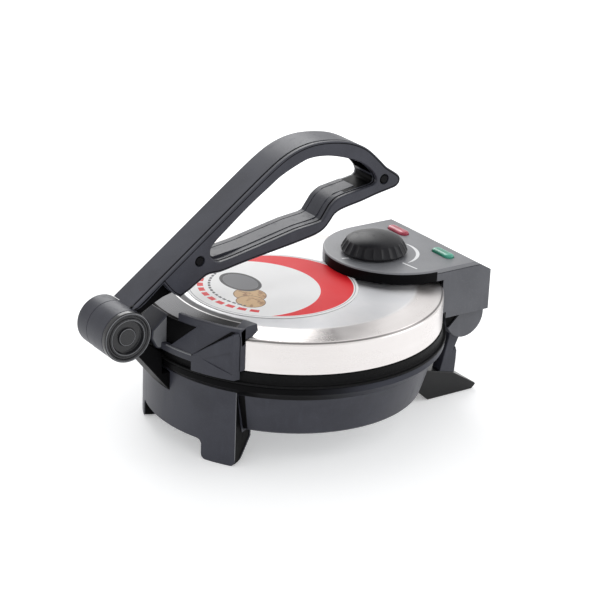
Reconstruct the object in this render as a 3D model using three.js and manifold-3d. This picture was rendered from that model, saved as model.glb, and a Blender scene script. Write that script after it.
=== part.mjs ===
// Electric roti maker: a round base on three feet with a heated lower plate, a steel lid with the
// upper plate and the control head, hinged at the back, and a press lever hinged at the front.
// Millimetres, +Z up, +Y towards the control head, +X towards the viewer's side of the lever.
// Heights are measured from the table, and places in plan from the axis of the plates.
import * as THREE from 'three';
import { mergeVertices } from 'three/addons/utils/BufferGeometryUtils.js';
import Module from 'manifold-3d';

const wasm = await Module();
wasm.setup();

// Shared clearances, the overrun of every cut and how far joined solids run into each other
const gap = 0.3;
const looseGap = 0.8;
const overrun = 5;
const weld = 0.25;
const weldAngle = 0.3 * Math.PI / 180;

// Base shell: a tapered round wall with a flared flange on top
const wallBottom = 26;
const wallLean = 9.2;
const wallRise = 32.5;
const wallThickness = 2.6;
const wallChamfer = 1.4;
const flangeFlare = 7;
const flangeInsideLip = 1;
const flangeRise = 11.7;
const flangeWidth = 3.5;
const flangeEdge = 4.5;

// Front skirt with a leg at each end
const skirtStandoff = 2.6;
const skirtThickness = 2.6;
const skirtBottom = 15.5;
const legAngle = 28.6 * Math.PI / 180;
const legWidth = 29;
const legSoleLength = 8;
const legDepth = 25.6;
const legInnerHeight = 16;
const legSlant = 5;
const archFillet = 6;

// Rear foot, a hollow wedge, and the two hinge posts on it
const footBesidePost = 1;
const footBehindWall = 2.2;
const footLength = 45;
const footTipReach = 4.5;
const footTipHeight = 4;
const footCrestReach = 24;
const footCrestHeight = 19.5;
const footUnderWall = 15.8;
const footWall = 3;
const postInnerX = 33;
const postWidth = 10.5;
const postHeadRadius = 11.6;
const postFootAhead = 21;
const postFootLength = 19;
const postNeckAhead = 8.5;
const postNeckBehind = 2;
const postNeckDrop = 19;

// Lid hinge
const postLipGap = 0.4;
const hingeAboveFlange = 0.8;
const hingePinRadius = 4;

// Lower plate
const plateSeatGap = 0.4;
const lipWidth = 2.7;
const lipThickness = 1.8;
const rimRound = 0.8;
const rimRise = 7.6;
const plateThickness = 6.5;
const plateInFlange = 3.5;

// Upper plate
const platesGap = 0.4;
const plateInPan = 3.5;
const upperPlateThickness = 5;
const upperRimRise = 2.6;
const upperRimWidth = 2.4;

// Lid pan, pressed from stainless steel sheet
const panRadius = 117.5;
const panSheet = 0.8;
const panSideRise = 23.2;
const panShoulder = 1.9;
const panBevelWidth = 19.4;
const panBevelRise = 2.5;

// Heating elements
const elementRadius = 72;
const elementTube = 3.6;
const elementGap = 1.2;
const elementOpening = 40 * Math.PI / 180;
const elementTail = 6;
const elementTailSetback = 3;
const elementSides = 6;
const elementSteps = 48;

// Heat shields and the spacers that carry them
const shieldSheet = 0.8;
const lowerShieldInset = 6.8;
const lowerShieldDrop = 21.5;
const upperShieldInset = 5.2;
const upperShieldDrop = 7.3;
const shieldLip = 4;
const spacerRadius = 4;
const spacerCircle = 44;
const spacerCount = 3;

// Bottom cover, its screws and the bosses that take them
const coverSheet = 1.2;
const coverInset = 0.36;
const ventCircle = 58;
const ventCount = 10;
const ventLength = 22;
const ventWidth = 4;
const coverScrewAngles = [-38, 38, 142, 218].map((degrees) => degrees * Math.PI / 180);
const bossInset = 8.8;
const bossRadius = 5.2;
const bossRise = 16;
const bossRib = 3;

// Screws
const screwShankRadius = 1.7;
const screwHeadRadius = 3.6;
const screwHeadHeight = 2;
const screwClearance = 0.35;
const coverScrewLength = 12;

// Cord gland in the rear wall and the terminal block
const glandAngle = 150 * Math.PI / 180;
const glandRise = 17;
const glandRadius = 6;
const glandBoreRadius = 3.6;
const glandFlangeRadius = 8.6;
const glandFlange = 3;
const glandInside = 8;
const glandOutside = 6;
const terminalLength = 34;
const terminalWidth = 16;
const terminalHeight = 12;
const terminalInset = 39.2;
const terminalBeside = 4;

// Lever pivot and its bracket on the base
const pivotAhead = 39;
const pivotRise = 30.8;
const barrelRadius = 19.5;
const hubFarX = -21.7;
const hubNearX = -6.3;
const bracketNearX = 8;
const bracketFarX = -16;
const bracketTailRise = 18.4;
const bracketTailDepth = 14.8;
const bracketArmRise = 6.2;
const bracketLipGap = 0.7;
const bracketPlate = 3;
const bracketPlateHalf = 24;
const bracketPlateRise = 15;
const bracketPlateHeight = 20;
const bracketScrewSpread = 9.6 * Math.PI / 180;
const bracketScrewLength = 6.4;
const armRootShares = [[0.16, 0.19], [-0.26, -0.31]];
const armUnderShares = [0.88, -1.24];
const pivotPinRadius = 4;
const pinEndShy = 2.6;

// Lever: the near-side outline from the pivot, as shares of its reach and of its rise
const leverReach = 246;
const leverRise = 124;
const leverHalfWidth = 15.5;
const coverThickness = 3.5;
const barrelNearX = 16.9;
const leverOutlineShares = [
  [0.02, 0.13], [0.122, 0.283], [0.316, 0.574], [0.467, 0.8], [0.512, 0.864], [0.546, 0.908],
  [0.58, 0.943], [0.62, 0.97], [0.66, 0.984], [0.7, 0.986], [0.75, 0.976], [0.8, 0.955],
  [0.849, 0.915], [0.881, 0.872], [0.924, 0.793], [0.945, 0.752], [0.975, 0.712],
  [0.993, 0.685], [1, 0.66], [0.997, 0.63], [0.985, 0.611], [0.97, 0.603], [0.911, 0.581],
  [0.852, 0.554], [0.778, 0.526], [0.752, 0.502], [0.736, 0.464], [0.719, 0.427],
  [0.698, 0.402], [0.66, 0.382], [0.586, 0.356], [0.476, 0.323], [0.398, 0.297],
  [0.335, 0.274], [0.29, 0.272], [0.262, 0.243], [0.226, 0.199], [0.193, 0.166],
  [0.171, 0.196], [0.152, 0.236], [0.136, 0.276], [0.06, 0.155],
];
const loopShares = [
  [0.608, 0.87], [0.546, 0.815], [0.508, 0.765], [0.431, 0.659], [0.355, 0.54], [0.31, 0.466],
  [0.298, 0.43], [0.3, 0.386], [0.315, 0.352], [0.339, 0.338], [0.436, 0.373], [0.554, 0.423],
  [0.618, 0.449], [0.691, 0.466], [0.707, 0.476], [0.724, 0.522], [0.742, 0.569], [0.772, 0.606],
  [0.896, 0.646], [0.907, 0.66], [0.908, 0.685], [0.895, 0.73], [0.865, 0.784], [0.824, 0.829],
  [0.765, 0.87], [0.707, 0.894], [0.649, 0.895],
];
const coreShares = [
  [0.055, 0.05], [0.085, 0.09], [0.15, 0.155], [0.193, 0.18], [0.25, 0.25], [0.27, 0.35],
  [0.136, 0.29], [0.05, 0.16],
];
const coreFarX = -11;
const coreNearX = 7;
const leverScrewShares = [[0.26, 0.37], [0.937, 0.674]];
const recessClearance = 0.5;
const recessDepth = 2.4;
const leverScrewLength = 12;
const upperPocketShares = [
  [0.86, 0.712], [0.93, 0.712], [0.928, 0.742], [0.909, 0.777], [0.868, 0.85], [0.838, 0.886],
  [0.8, 0.9], [0.79, 0.85], [0.83, 0.79],
];
const lowerPocketShares = [
  [0.83, 0.69], [0.916, 0.69], [0.916, 0.645], [0.9, 0.625], [0.85, 0.604], [0.81, 0.6],
  [0.8, 0.625],
];
const pocketSide = 3;

// Cap over the near end of the pivot
const capThickness = 4.5;
const capChamfer = 1.2;
const capGrooveOuter = 17;
const capGrooveInner = 15;
const capGrooveDepth = 1.1;
const capRecessRadius = 12.6;
const capRecessDepth = 2.4;
const capButtonRadius = 6.6;
const capButtonRise = 1.2;

// Control head on the lid
const headBesideCheek = 6;
const headBehindHinge = 18;
const headStraight = 54;
const headAboveHinge = 4.5;
const headOverPan = 0.7;
const headWall = 3;
const headFloor = 1.5;
const headLipGap = 1.3;
const bevelWall = 3.75;
const trayRise = 6.2;
const panelThickness = 2.8;
const bevelLength = 15.5;
const bevelDrop = 8.8;
const cheekRadius = 18.6;
const cheekGap = 0.5;
const cheekWidth = 7;
const gussetRise = 14.5;

// Thermostat, its spindle and the knob
const knobAhead = 20;
const knobGap = 0.42;
const thermostatRadius = 11;
const thermostatRise = 9;
const spindleRadius = 3;
const spindleHole = 5.5;
const spindleInKnob = 10;
const knobBaseRadius = 24.6;
const knobBaseRise = 2.4;
const knobSkirtRadius = 26.6;
const knobSkirtRise = 1.2;
const knobShoulderRadius = 22.3;
const knobShoulderRise = 6.8;
const knobDomeRise = 4.9;
const knobDomeShares = [[0.8, 0.55], [0.45, 0.9]];

// Indicator lamps
const lampX = 29.7;
const lampAhead = 27.7;
const lampLength = 23;
const lampWidth = 8.4;
const lampAbovePanel = 2.4;
const lampBelowPanel = 4;

// Panel screws, driven from inside the head
const panelScrewInset = 11;
const panelScrewBehind = 3;
const panelScrewShy = 0.8;
const panelBossRadius = 4.6;

// Front grip on the lid
const gripAngle = 40 * Math.PI / 180;
const gripHalfWidth = 74.4;
const gripFit = 0.5;
const gripWall = 3;
const gripAbovePan = 0.8;
const parapetAbovePan = 5.8;
const parapetStart = 12 * Math.PI / 180;
const wingAbovePan = 2.8;
const farEndBelowPan = 4.2;
const farEndX = 60;
const wingThickness = 4.3;
const wingOutsideLip = 0.7;
const wingAboveLip = 2.2;
const wingStart = 20 * Math.PI / 180;
const shelfRise = 6.4;
const shelfThickness = 3.4;
const shelfEdge = 2.2;
const shelfEdgeDrop = 1.9;
const rampHalfWidth = 12;
const rampProud = 6.9;
const rampNoseShares = [[1, 0.59], [1.02, 0.36]];
const rampCornerShare = 0.66;
const rampHeelShare = 0.2;
const rampCornerLift = 0.9;
const clawWidth = 13.4;
const clawLength = 20.8;
const clawDepth = 15.9;
const clawAbovePan = 7.7;
const clawShares = [
  [0, 0.58, 0.97], [0, 0.95, 1], [0.48, 0.95, 0.94], [1, 0.8, 0.94], [0, 1, 0.65], [0, 0.77, 0.47],
  [0, 0.48, 0.35], [0.63, 0.56, 0.47], [1, 0.8, 0.5], [0, 0.3, 0.75], [0, 0.35, 0], [0.48, 0.12, 0],
  [0.48, 0.12, 0.63],
];
const gripScrewAngle = 29 * Math.PI / 180;
const gripScrewRise = 10.4;
const gripScrewLength = 7;

// Round label on the lid
const labelRadius = 66.8;
const labelY = -19.7;
const labelThickness = 0.3;
const labelGap = 0.1;

// Facets
const bigFacets = 48;
const midFacets = 32;
const smallFacets = 20;
const pinFacets = 12;
const facetsPerRadian = 10;

// Screw holes and recesses
const screwHole = screwShankRadius + screwClearance;
const recessRadius = screwHeadRadius + recessClearance;

// Radii that follow from the sizes above, from the pan outwards and then down the base
const rimRadius = panRadius + looseGap;
const lipRadius = rimRadius + lipWidth;
const flangeRadius = lipRadius - flangeInsideLip;
const rimInnerRadius = flangeRadius - flangeWidth - plateInFlange;
const wallTopRadius = flangeRadius - flangeFlare;
const wallFootRadius = wallTopRadius - wallLean;
const wallInnerFoot = wallFootRadius - wallThickness;
const wallInnerTop = wallTopRadius - wallThickness;
const skirtRadius = wallTopRadius + skirtStandoff;
const legInnerRadius = skirtRadius - legDepth;
const lowerShieldRadius = wallFootRadius - lowerShieldInset;
const bossCircle = wallFootRadius - bossInset;
const upperPlateRadius = panRadius - panSheet - plateInPan;
const upperShieldRadius = upperPlateRadius - upperShieldInset;
const panBevelInner = panRadius - panShoulder - panBevelWidth;
const gripInnerRadius = panRadius + gripFit;
const wingInnerRadius = lipRadius + wingOutsideLip;
const wingRadius = wingInnerRadius + wingThickness;

// Heights that follow, from the base upwards
const wallTop = wallBottom + wallRise;
const flangeTop = wallTop + flangeRise;
const flangeSlope = (flangeRise - flangeEdge) / flangeFlare;
const skirtTop = wallTop + skirtStandoff * flangeSlope + weld;
const coverBottom = wallBottom + coverInset;
const coverTop = coverBottom + coverSheet;
const footTop = wallBottom + weld;
const lipBottom = flangeTop + plateSeatGap;
const lipTop = lipBottom + lipThickness;
const plateTop = lipTop + rimRise;
const plateUnderside = plateTop - plateThickness;
const lowerShieldHeight = plateUnderside - lowerShieldDrop;
const upperPlateBottom = plateTop + platesGap;
const upperPlateTop = upperPlateBottom + upperPlateThickness;
const panBottom = plateTop + 2 * gap;
const panSideTop = panBottom + panSideRise;
const panBevelOuter = panSideTop + panShoulder;
const panTop = panBevelOuter + panBevelRise;
const upperShieldHeight = panTop - upperShieldDrop;
const trayBottom = panTop + headOverPan;
const trayTop = trayBottom + trayRise;
const panelBottom = trayTop + gap;
const panelTop = panelBottom + panelThickness;
const knobBottom = panelTop + knobGap;
const gripTop = panTop + gripAbovePan;
const wingBottom = lipTop + wingAboveLip;
const wingStartHeight = panBottom + shelfRise;
const shelfBottom = wingStartHeight - shelfThickness;
const shelfEdgeBottom = shelfBottom - shelfEdgeDrop;
const gripBottom = panBottom + gap;
const rampBackY = -gripInnerRadius - gripWall / 2;
const rampReach = wingRadius + rampProud + rampBackY;
const rampCornerY = rampBackY - rampCornerShare * rampReach;
const parapetTop = panTop + parapetAbovePan;
const farEndTop = panTop - farEndBelowPan;
const wingTop = panTop + wingAbovePan;
const wingEndY = -Math.sqrt(wingRadius ** 2 - gripHalfWidth ** 2);
const clawBottom = panTop + clawAbovePan - clawDepth;
const gripScrewHeight = panBottom + gripScrewRise;
const glandHeight = wallBottom + glandRise;

// The hinge's axis, the head, the posts and the rear foot follow from the lip
const hingeY = lipRadius + postHeadRadius + postLipGap;
const hingeZ = flangeTop + hingeAboveFlange;
const headRear = hingeY + headBehindHinge;
const headCentreY = headRear - headStraight;
const headBottom = hingeZ + headAboveHinge;
const gussetTop = headBottom + gussetRise;
const bevelTopY = headRear - bevelLength;
const cheekInnerX = postInnerX + postWidth + cheekGap;
const cheekOuterX = cheekInnerX + cheekWidth;
const headHalfWidth = cheekOuterX + headBesideCheek;
const knobY = headCentreY - knobAhead;
const lampY = headRear - lampAhead;
const panelScrewX = headHalfWidth - panelScrewInset;
const panelScrewY = headCentreY + panelScrewBehind;
const postFootFront = hingeY - postFootAhead;
const postFootRear = postFootFront + postFootLength;
const postNeckFront = hingeY - postNeckAhead;
const postNeckRear = hingeY + postNeckBehind;
const postNeckHeight = hingeZ - postNeckDrop;
const footHalfWidth = postInnerX + postWidth + footBesidePost;
const footFront = wallFootRadius + footBehindWall;
const footInner = wallFootRadius - footUnderWall;
const footRear = footFront + footLength;
const footTip = footRear + footTipReach;
const footCrest = footFront + footCrestReach;

// The pivot and its bracket follow from the lip and the wall
const pivotY = -flangeRadius - pivotAhead;
const pivotZ = flangeTop + pivotRise;
const bracketFrontY = -lipRadius - bracketLipGap;
const bracketArmTop = flangeTop + bracketArmRise;
const bracketTailBottom = wallBottom + bracketTailRise;
const bracketTailTop = bracketTailBottom + bracketTailDepth;
const bracketPlateBottom = wallBottom + bracketPlateRise;
const bracketPlateTop = bracketPlateBottom + bracketPlateHeight;

// Solids: joins and cuts on closed meshes

function solid(geometry) {
  const bare = geometry.index ? geometry.toNonIndexed() : geometry.clone();
  bare.deleteAttribute('normal');
  bare.deleteAttribute('uv');
  const merged = mergeVertices(bare);
  return new wasm.Manifold(new wasm.Mesh({
    numProp: 3,
    vertProperties: new Float32Array(merged.attributes.position.array),
    triVerts: new Uint32Array(merged.index.array),
  }));
}

function joined(first, ...rest) {
  return rest.reduce((whole, piece) => whole.add(piece), first);
}

function cut(first, ...rest) {
  return rest.reduce((whole, piece) => whole.subtract(piece), first);
}

function geometryOf(manifold) {
  const mesh = manifold.getMesh();
  const geometry = new THREE.BufferGeometry();
  const places = new Float32Array(mesh.numVert * 3);
  for (let i = 0; i < mesh.numVert; i += 1) {
    for (let k = 0; k < 3; k += 1) {
      places[3 * i + k] = mesh.vertProperties[mesh.numProp * i + k];
    }
  }
  geometry.setAttribute('position', new THREE.BufferAttribute(places, 3));
  geometry.setIndex(new THREE.BufferAttribute(new Uint32Array(mesh.triVerts), 1));
  geometry.computeVertexNormals();
  return geometry;
}

// Turned about the Z axis: radius and height pairs, with the material on the left
function turned(profile, facets = bigFacets) {
  const points = profile.map(([radius, height]) => new THREE.Vector2(radius, height));
  const geometry = new THREE.LatheGeometry(points, facets);
  geometry.rotateX(Math.PI / 2);
  return solid(geometry);
}

// Turned profile laid along the X axis, its heights becoming places along X
function turnedX(profile, y, z, facets = bigFacets) {
  return turned(profile, facets).rotate([0, 90, 0]).translate([0, y, z]);
}

function rodX(radius, fromX, toX, y, z, facets = smallFacets) {
  const profile = [[0, fromX], [radius, fromX], [radius, toX], [0, toX]];
  return turnedX(profile, y, z, facets);
}

function rodZ(radius, fromZ, toZ, x, y, facets = smallFacets) {
  const profile = [[0, fromZ], [radius, fromZ], [radius, toZ], [0, toZ]];
  return turned(profile, facets).translate([x, y, 0]);
}

// Flat outline in plan, between two heights
function platedShape(shape, fromZ, toZ, curveSegments = smallFacets) {
  const options = { depth: toZ - fromZ, bevelEnabled: false, curveSegments };
  const geometry = new THREE.ExtrudeGeometry(shape, options);
  geometry.translate(0, 0, fromZ);
  return solid(geometry);
}

function outline(points) {
  return new THREE.Shape(points.map(([a, b]) => new THREE.Vector2(a, b)));
}

// Side outline in Y and Z, between two places along X
function slab(points, fromX, toX) {
  const options = { depth: toX - fromX, bevelEnabled: false };
  const geometry = new THREE.ExtrudeGeometry(outline(points), options);
  const basis = new THREE.Matrix4().makeBasis(
    new THREE.Vector3(0, 1, 0),
    new THREE.Vector3(0, 0, 1),
    new THREE.Vector3(1, 0, 0),
  );
  geometry.applyMatrix4(basis);
  geometry.translate(fromX, 0, 0);
  return solid(geometry);
}

function box(fromX, toX, fromY, toY, fromZ, toZ) {
  const geometry = new THREE.BoxGeometry(toX - fromX, toY - fromY, toZ - fromZ);
  geometry.translate((fromX + toX) / 2, (fromY + toY) / 2, (fromZ + toZ) / 2);
  return solid(geometry);
}

// Part of a ring about the plate axis, centred on the front, from one side angle to another
function frontArc(inner, outer, fromAngle, toAngle, fromZ, toZ) {
  const front = -Math.PI / 2;
  const shape = new THREE.Shape();
  shape.absarc(0, 0, outer, front + fromAngle, front + toAngle, false);
  shape.absarc(0, 0, inner, front + toAngle, front + fromAngle, true);
  return platedShape(shape, fromZ, toZ, Math.ceil(facetsPerRadian * (toAngle - fromAngle)));
}

// Turns a solid about the plate axis; an angle of zero is the front
function turnedTo(piece, angle) {
  return piece.rotate([0, 0, angle * 180 / Math.PI]);
}

// Materials
const finishes = {
  shellPlastic: { color: 0x2b2d33, roughness: 0.42, metalness: 0 },
  darkPlastic: { color: 0x1c1d21, roughness: 0.45, metalness: 0 },
  headPlastic: { color: 0x36383e, roughness: 0.35, metalness: 0 },
  steel: { color: 0xc9c6c2, roughness: 0.28, metalness: 1 },
  zinc: { color: 0xa4a6a8, roughness: 0.4, metalness: 1 },
  coating: { color: 0x161719, roughness: 0.6, metalness: 0.1 },
  sheet: { color: 0xb4b6b8, roughness: 0.45, metalness: 1 },
  element: { color: 0x7d7f82, roughness: 0.5, metalness: 1 },
  redLens: { color: 0xc8324a, roughness: 0.2, metalness: 0 },
  greenLens: { color: 0x2fa57c, roughness: 0.2, metalness: 0 },
  rubber: { color: 0x121212, roughness: 0.85, metalness: 0 },
  paper: { color: 0xf4f3f1, roughness: 0.4, metalness: 0 },
  phenolic: { color: 0x3d2f27, roughness: 0.6, metalness: 0 },
};

const assembly = new THREE.Group();

function addPart(name, manifold, finish, parent = assembly) {
  const material = new THREE.MeshStandardMaterial(finishes[finish]);
  const mesh = new THREE.Mesh(geometryOf(manifold), material);
  mesh.name = name;
  parent.add(mesh);
  return mesh;
}

// Base

const wallAngle = Math.atan2(wallTopRadius - wallFootRadius, wallRise - wallChamfer);

function wallOuterAt(height) {
  return wallFootRadius + (height - wallBottom - wallChamfer) * Math.tan(wallAngle);
}

function wallInnerAt(height) {
  const rise = wallRise + wallThickness - wallChamfer;
  return wallInnerFoot + (height - wallBottom - wallChamfer) * (wallInnerTop - wallInnerFoot) / rise;
}

function baseWall() {
  return turned([
    [wallInnerFoot, wallBottom],
    [wallFootRadius - wallChamfer, wallBottom],
    [wallFootRadius, wallBottom + wallChamfer],
    [wallTopRadius, wallTop],
    [flangeRadius, flangeTop - flangeEdge],
    [flangeRadius, flangeTop],
    [flangeRadius - flangeWidth, flangeTop],
    [wallInnerTop, wallTop + wallThickness],
    [wallInnerFoot, wallBottom + wallChamfer],
    [wallInnerFoot, wallBottom],
  ]);
}

function frontSkirt() {
  const skirt = frontArc(
    skirtRadius - skirtThickness,
    skirtRadius,
    -legAngle,
    legAngle,
    0,
    skirtTop,
  );
  const halfArch = skirtRadius * Math.sin(legAngle) - legWidth / 2;
  const arch = new THREE.Shape();
  arch.moveTo(-halfArch - legSlant, -overrun);
  arch.lineTo(halfArch + legSlant, -overrun);
  arch.lineTo(halfArch + archFillet / 3, skirtBottom - archFillet);
  arch.quadraticCurveTo(halfArch, skirtBottom, halfArch - archFillet, skirtBottom);
  arch.lineTo(archFillet - halfArch, skirtBottom);
  arch.quadraticCurveTo(-halfArch, skirtBottom, -halfArch - archFillet / 3, skirtBottom - archFillet);
  const depth = skirtRadius + overrun;
  const cutter = new THREE.ExtrudeGeometry(arch, { depth, bevelEnabled: false, curveSegments: 5 });
  cutter.rotateX(Math.PI / 2);
  return cut(skirt, solid(cutter));
}

// A leg is a wedge under the wall, its outer face on the skirt's radius
function leg(side) {
  const soleInner = skirtRadius - legSoleLength;
  const wallAt = (height) => wallOuterAt(height) - wallThickness / 2;
  const profile = [
    [-skirtRadius - overrun, 0],
    [-soleInner, 0],
    [-legInnerRadius, legInnerHeight],
    [-legInnerRadius, wallBottom - gap],
    [-wallAt(wallBottom), wallBottom - gap],
    [-wallAt(wallBottom), wallBottom],
    [-wallAt(wallTop), skirtTop],
    [-skirtRadius - overrun, skirtTop],
  ];
  const wedge = slab(profile.reverse(), -legWidth / 2, legWidth / 2);
  return turnedTo(wedge, side * legAngle).intersect(rodZ(skirtRadius, 0, flangeTop, 0, 0, bigFacets));
}

function rearFoot() {
  const top = [
    [footInner, footTop],
    [footInner, legInnerHeight],
    [footFront, 0],
    [footRear, 0],
    [footTip, footTipHeight],
    [footCrest, footCrestHeight],
    [wallFootRadius, footTop],
  ];
  const hollow = [
    [footInner + footWall, legInnerHeight],
    [footFront, -overrun],
    [footRear - footWall, -overrun],
    [footRear - footWall, footTipHeight],
    [footCrest - footWall, footCrestHeight - footWall],
    [wallFootRadius - footWall, footTop - footWall],
    [footInner + footWall, footTop - footWall],
  ];
  const outer = slab(top, -footHalfWidth, footHalfWidth);
  const inner = slab(hollow, footWall - footHalfWidth, footHalfWidth - footWall);
  const belowCover = turned([
    [0, wallBottom - gap],
    [wallInnerFoot, wallBottom - gap],
    [wallInnerFoot, wallBottom + overrun],
    [0, wallBottom + overrun],
  ]);
  return cut(outer, inner, belowCover);
}

function hingePost(side) {
  const profile = [
    [postFootFront, footTipHeight],
    [postFootRear, footTipHeight],
    [postNeckRear, postNeckHeight],
    [hingeY + postHeadRadius, hingeZ],
    [hingeY - postHeadRadius, hingeZ],
    [postNeckFront, postNeckHeight],
  ];
  const outerX = postInnerX + postWidth;
  const from = side > 0 ? postInnerX : -outerX;
  const to = side > 0 ? outerX : -postInnerX;
  return joined(slab(profile, from, to), rodX(postHeadRadius, from, to, hingeY, hingeZ));
}

function coverBosses() {
  return coverScrewAngles.map((angle) => {
    const x = bossCircle * Math.cos(angle);
    const y = bossCircle * Math.sin(angle);
    const pillar = rodZ(bossRadius, coverTop + gap, coverTop + bossRise, x, y, pinFacets);
    const rib = box(
      bossCircle,
      wallFootRadius + bossRib / 2,
      -bossRib / 2,
      bossRib / 2,
      coverTop + gap,
      coverTop + bossRise,
    );
    return joined(pillar, rib.rotate([0, 0, angle * 180 / Math.PI]));
  });
}

// Stands a solid square to the tapered wall, its Z axis pointing outwards from the outer face
function onWall(piece, angle, height) {
  return piece
    .rotate([0, 90 + wallAngle * 180 / Math.PI, 0])
    .translate([wallOuterAt(height), 0, height])
    .rotate([0, 0, angle * 180 / Math.PI]);
}

const bracketMiddle = (bracketFarX + bracketNearX) / 2;
const bracketScrewHeight = (bracketPlateBottom + bracketPlateTop) / 2;
const bracketScrewAngles = [-1, 1].map((side) => (
  Math.atan2(-wallTopRadius, bracketMiddle) + side * bracketScrewSpread
));

const baseShell = cut(
  joined(
    baseWall(),
    frontSkirt(),
    leg(-1),
    leg(1),
    rearFoot(),
    hingePost(-1),
    hingePost(1),
    ...coverBosses(),
  ),
  box(
    bracketFarX - gap,
    bracketNearX + gap,
    -flangeRadius - overrun,
    overrun - wallInnerFoot,
    bracketTailBottom - gap,
    bracketTailTop + gap,
  ),
  rodX(hingePinRadius + gap, -headHalfWidth, headHalfWidth, hingeY, hingeZ),
  onWall(rodZ(glandRadius + gap, -glandInside, glandOutside, 0, 0), glandAngle, glandHeight),
  ...coverScrewAngles.map((angle) => rodZ(
    screwHole,
    coverBottom,
    coverTop + coverScrewLength + gap,
    bossCircle * Math.cos(angle),
    bossCircle * Math.sin(angle),
    pinFacets,
  )),
  ...bracketScrewAngles.map((angle) => (
    onWall(rodZ(screwHole, -overrun, overrun, 0, 0, pinFacets), angle, bracketScrewHeight)
  )),
);
addPart('base_shell', baseShell, 'shellPlastic');

// Bottom cover with a ring of vents
function bottomCover() {
  const radius = wallInnerFoot - gap;
  const disc = rodZ(radius, coverBottom, coverTop, 0, 0, bigFacets);
  const vents = Array.from({ length: ventCount }, (_, i) => box(
    ventCircle - ventLength / 2,
    ventCircle + ventLength / 2,
    -ventWidth / 2,
    ventWidth / 2,
    coverBottom - overrun,
    coverTop + overrun,
  ).rotate([0, 0, (i + 0.5) * 360 / ventCount]));
  const holes = coverScrewAngles.map((angle) => rodZ(
    screwHole,
    coverBottom - overrun,
    coverTop + overrun,
    bossCircle * Math.cos(angle),
    bossCircle * Math.sin(angle),
    pinFacets,
  ));
  return cut(disc, ...vents, ...holes);
}
addPart('bottom_cover', bottomCover(), 'sheet');

// A screw along Z, its head below the seat and its shank above it
function screw(length) {
  return turned([
    [0, -screwHeadHeight],
    [screwHeadRadius - screwHeadHeight / 3, -screwHeadHeight],
    [screwHeadRadius, -screwHeadHeight / 2],
    [screwHeadRadius, 0],
    [screwShankRadius, 0],
    [screwShankRadius, length],
    [0, length],
  ], pinFacets);
}

coverScrewAngles.forEach((angle, i) => {
  const place = [bossCircle * Math.cos(angle), bossCircle * Math.sin(angle), coverBottom - gap / 2];
  addPart(`cover_screw_${i + 1}`, screw(coverScrewLength).translate(place), 'zinc');
});

const lowerPlate = turned([
  [0, plateUnderside],
  [rimInnerRadius, plateUnderside],
  [rimInnerRadius + lipThickness, lipBottom],
  [lipRadius, lipBottom],
  [lipRadius, lipTop],
  [rimRadius + rimRound, lipTop + rimRound],
  [rimRadius, plateTop - rimRound],
  [rimRadius - rimRound, plateTop],
  [0, plateTop],
]);
addPart('lower_plate', lowerPlate, 'coating');

// A heating element: an open ring of tube, its two ends turned towards the wiring
function element(height, tailHeight) {
  const sweep = 2 * Math.PI - elementOpening;
  const points = [];
  const steps = smallFacets;
  const start = Math.PI / 2 + elementOpening / 2;
  for (let i = 0; i <= steps; i += 1) {
    const angle = start + sweep * i / steps;
    points.push(new THREE.Vector3(
      elementRadius * Math.cos(angle),
      elementRadius * Math.sin(angle),
      height,
    ));
  }
  const tail = (end) => end.clone().add(new THREE.Vector3(
    0,
    -elementTailSetback,
    tailHeight - height,
  ));
  points.unshift(tail(points[0]));
  points.push(tail(points[points.length - 1]));
  const section = new THREE.Shape();
  section.absarc(0, 0, elementTube, 0, 2 * Math.PI, false);
  const geometry = new THREE.ExtrudeGeometry(section, {
    steps: elementSteps,
    curveSegments: elementSides / 2,
    bevelEnabled: false,
    extrudePath: new THREE.CatmullRomCurve3(points, false, 'centripetal'),
  });
  return solid(geometry);
}
const lowerElementZ = plateUnderside - elementTube - elementGap;
addPart('lower_element', element(lowerElementZ, lowerElementZ - elementTail), 'element');

const spacerAngles = Array.from({ length: spacerCount }, (_, i) => (
  (2 * i + 1) * Math.PI / spacerCount + Math.PI / 2
));

function shield(radius, height, lipDirection) {
  const lip = height + lipDirection * shieldLip;
  const sheetTop = height + shieldSheet;
  const dish = lipDirection > 0
    ? turned([
      [0, height],
      [radius, height],
      [radius, lip],
      [radius - shieldSheet, lip],
      [radius - shieldSheet, sheetTop],
      [0, sheetTop],
    ])
    : turned([
      [0, height],
      [radius - shieldSheet, height],
      [radius - shieldSheet, lip],
      [radius, lip],
      [radius, sheetTop],
      [0, sheetTop],
    ]);
  const holes = spacerAngles.map((angle) => rodZ(
    spacerRadius + gap,
    height - overrun,
    sheetTop + overrun,
    spacerCircle * Math.cos(angle),
    spacerCircle * Math.sin(angle),
    pinFacets,
  ));
  return cut(dish, ...holes);
}
addPart('lower_shield', shield(lowerShieldRadius, lowerShieldHeight, 1), 'sheet');

// A spacer has a collar that its shield rests on
function spacer(fromZ, toZ, collarTop, angle) {
  const collar = collarTop - shieldSheet;
  const wide = spacerRadius + 2 * shieldSheet;
  return turned([
    [0, fromZ],
    [spacerRadius, fromZ],
    [spacerRadius, collar],
    [wide, collar],
    [wide, collarTop],
    [spacerRadius, collarTop],
    [spacerRadius, toZ],
    [0, toZ],
  ], pinFacets).translate([
    spacerCircle * Math.cos(angle),
    spacerCircle * Math.sin(angle),
    0,
  ]);
}
spacerAngles.forEach((angle, i) => {
  const piece = spacer(coverTop + gap, plateUnderside - gap, lowerShieldHeight - gap, angle);
  addPart(`lower_spacer_${i + 1}`, piece, 'zinc');
});

const terminalX = terminalInset - wallInnerFoot;
const terminalBlock = box(
  terminalX - terminalLength / 2,
  terminalX + terminalLength / 2,
  terminalBeside - terminalWidth / 2,
  terminalBeside + terminalWidth / 2,
  coverTop + gap,
  coverTop + gap + terminalHeight,
);
addPart('terminal_block', terminalBlock, 'phenolic');

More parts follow.
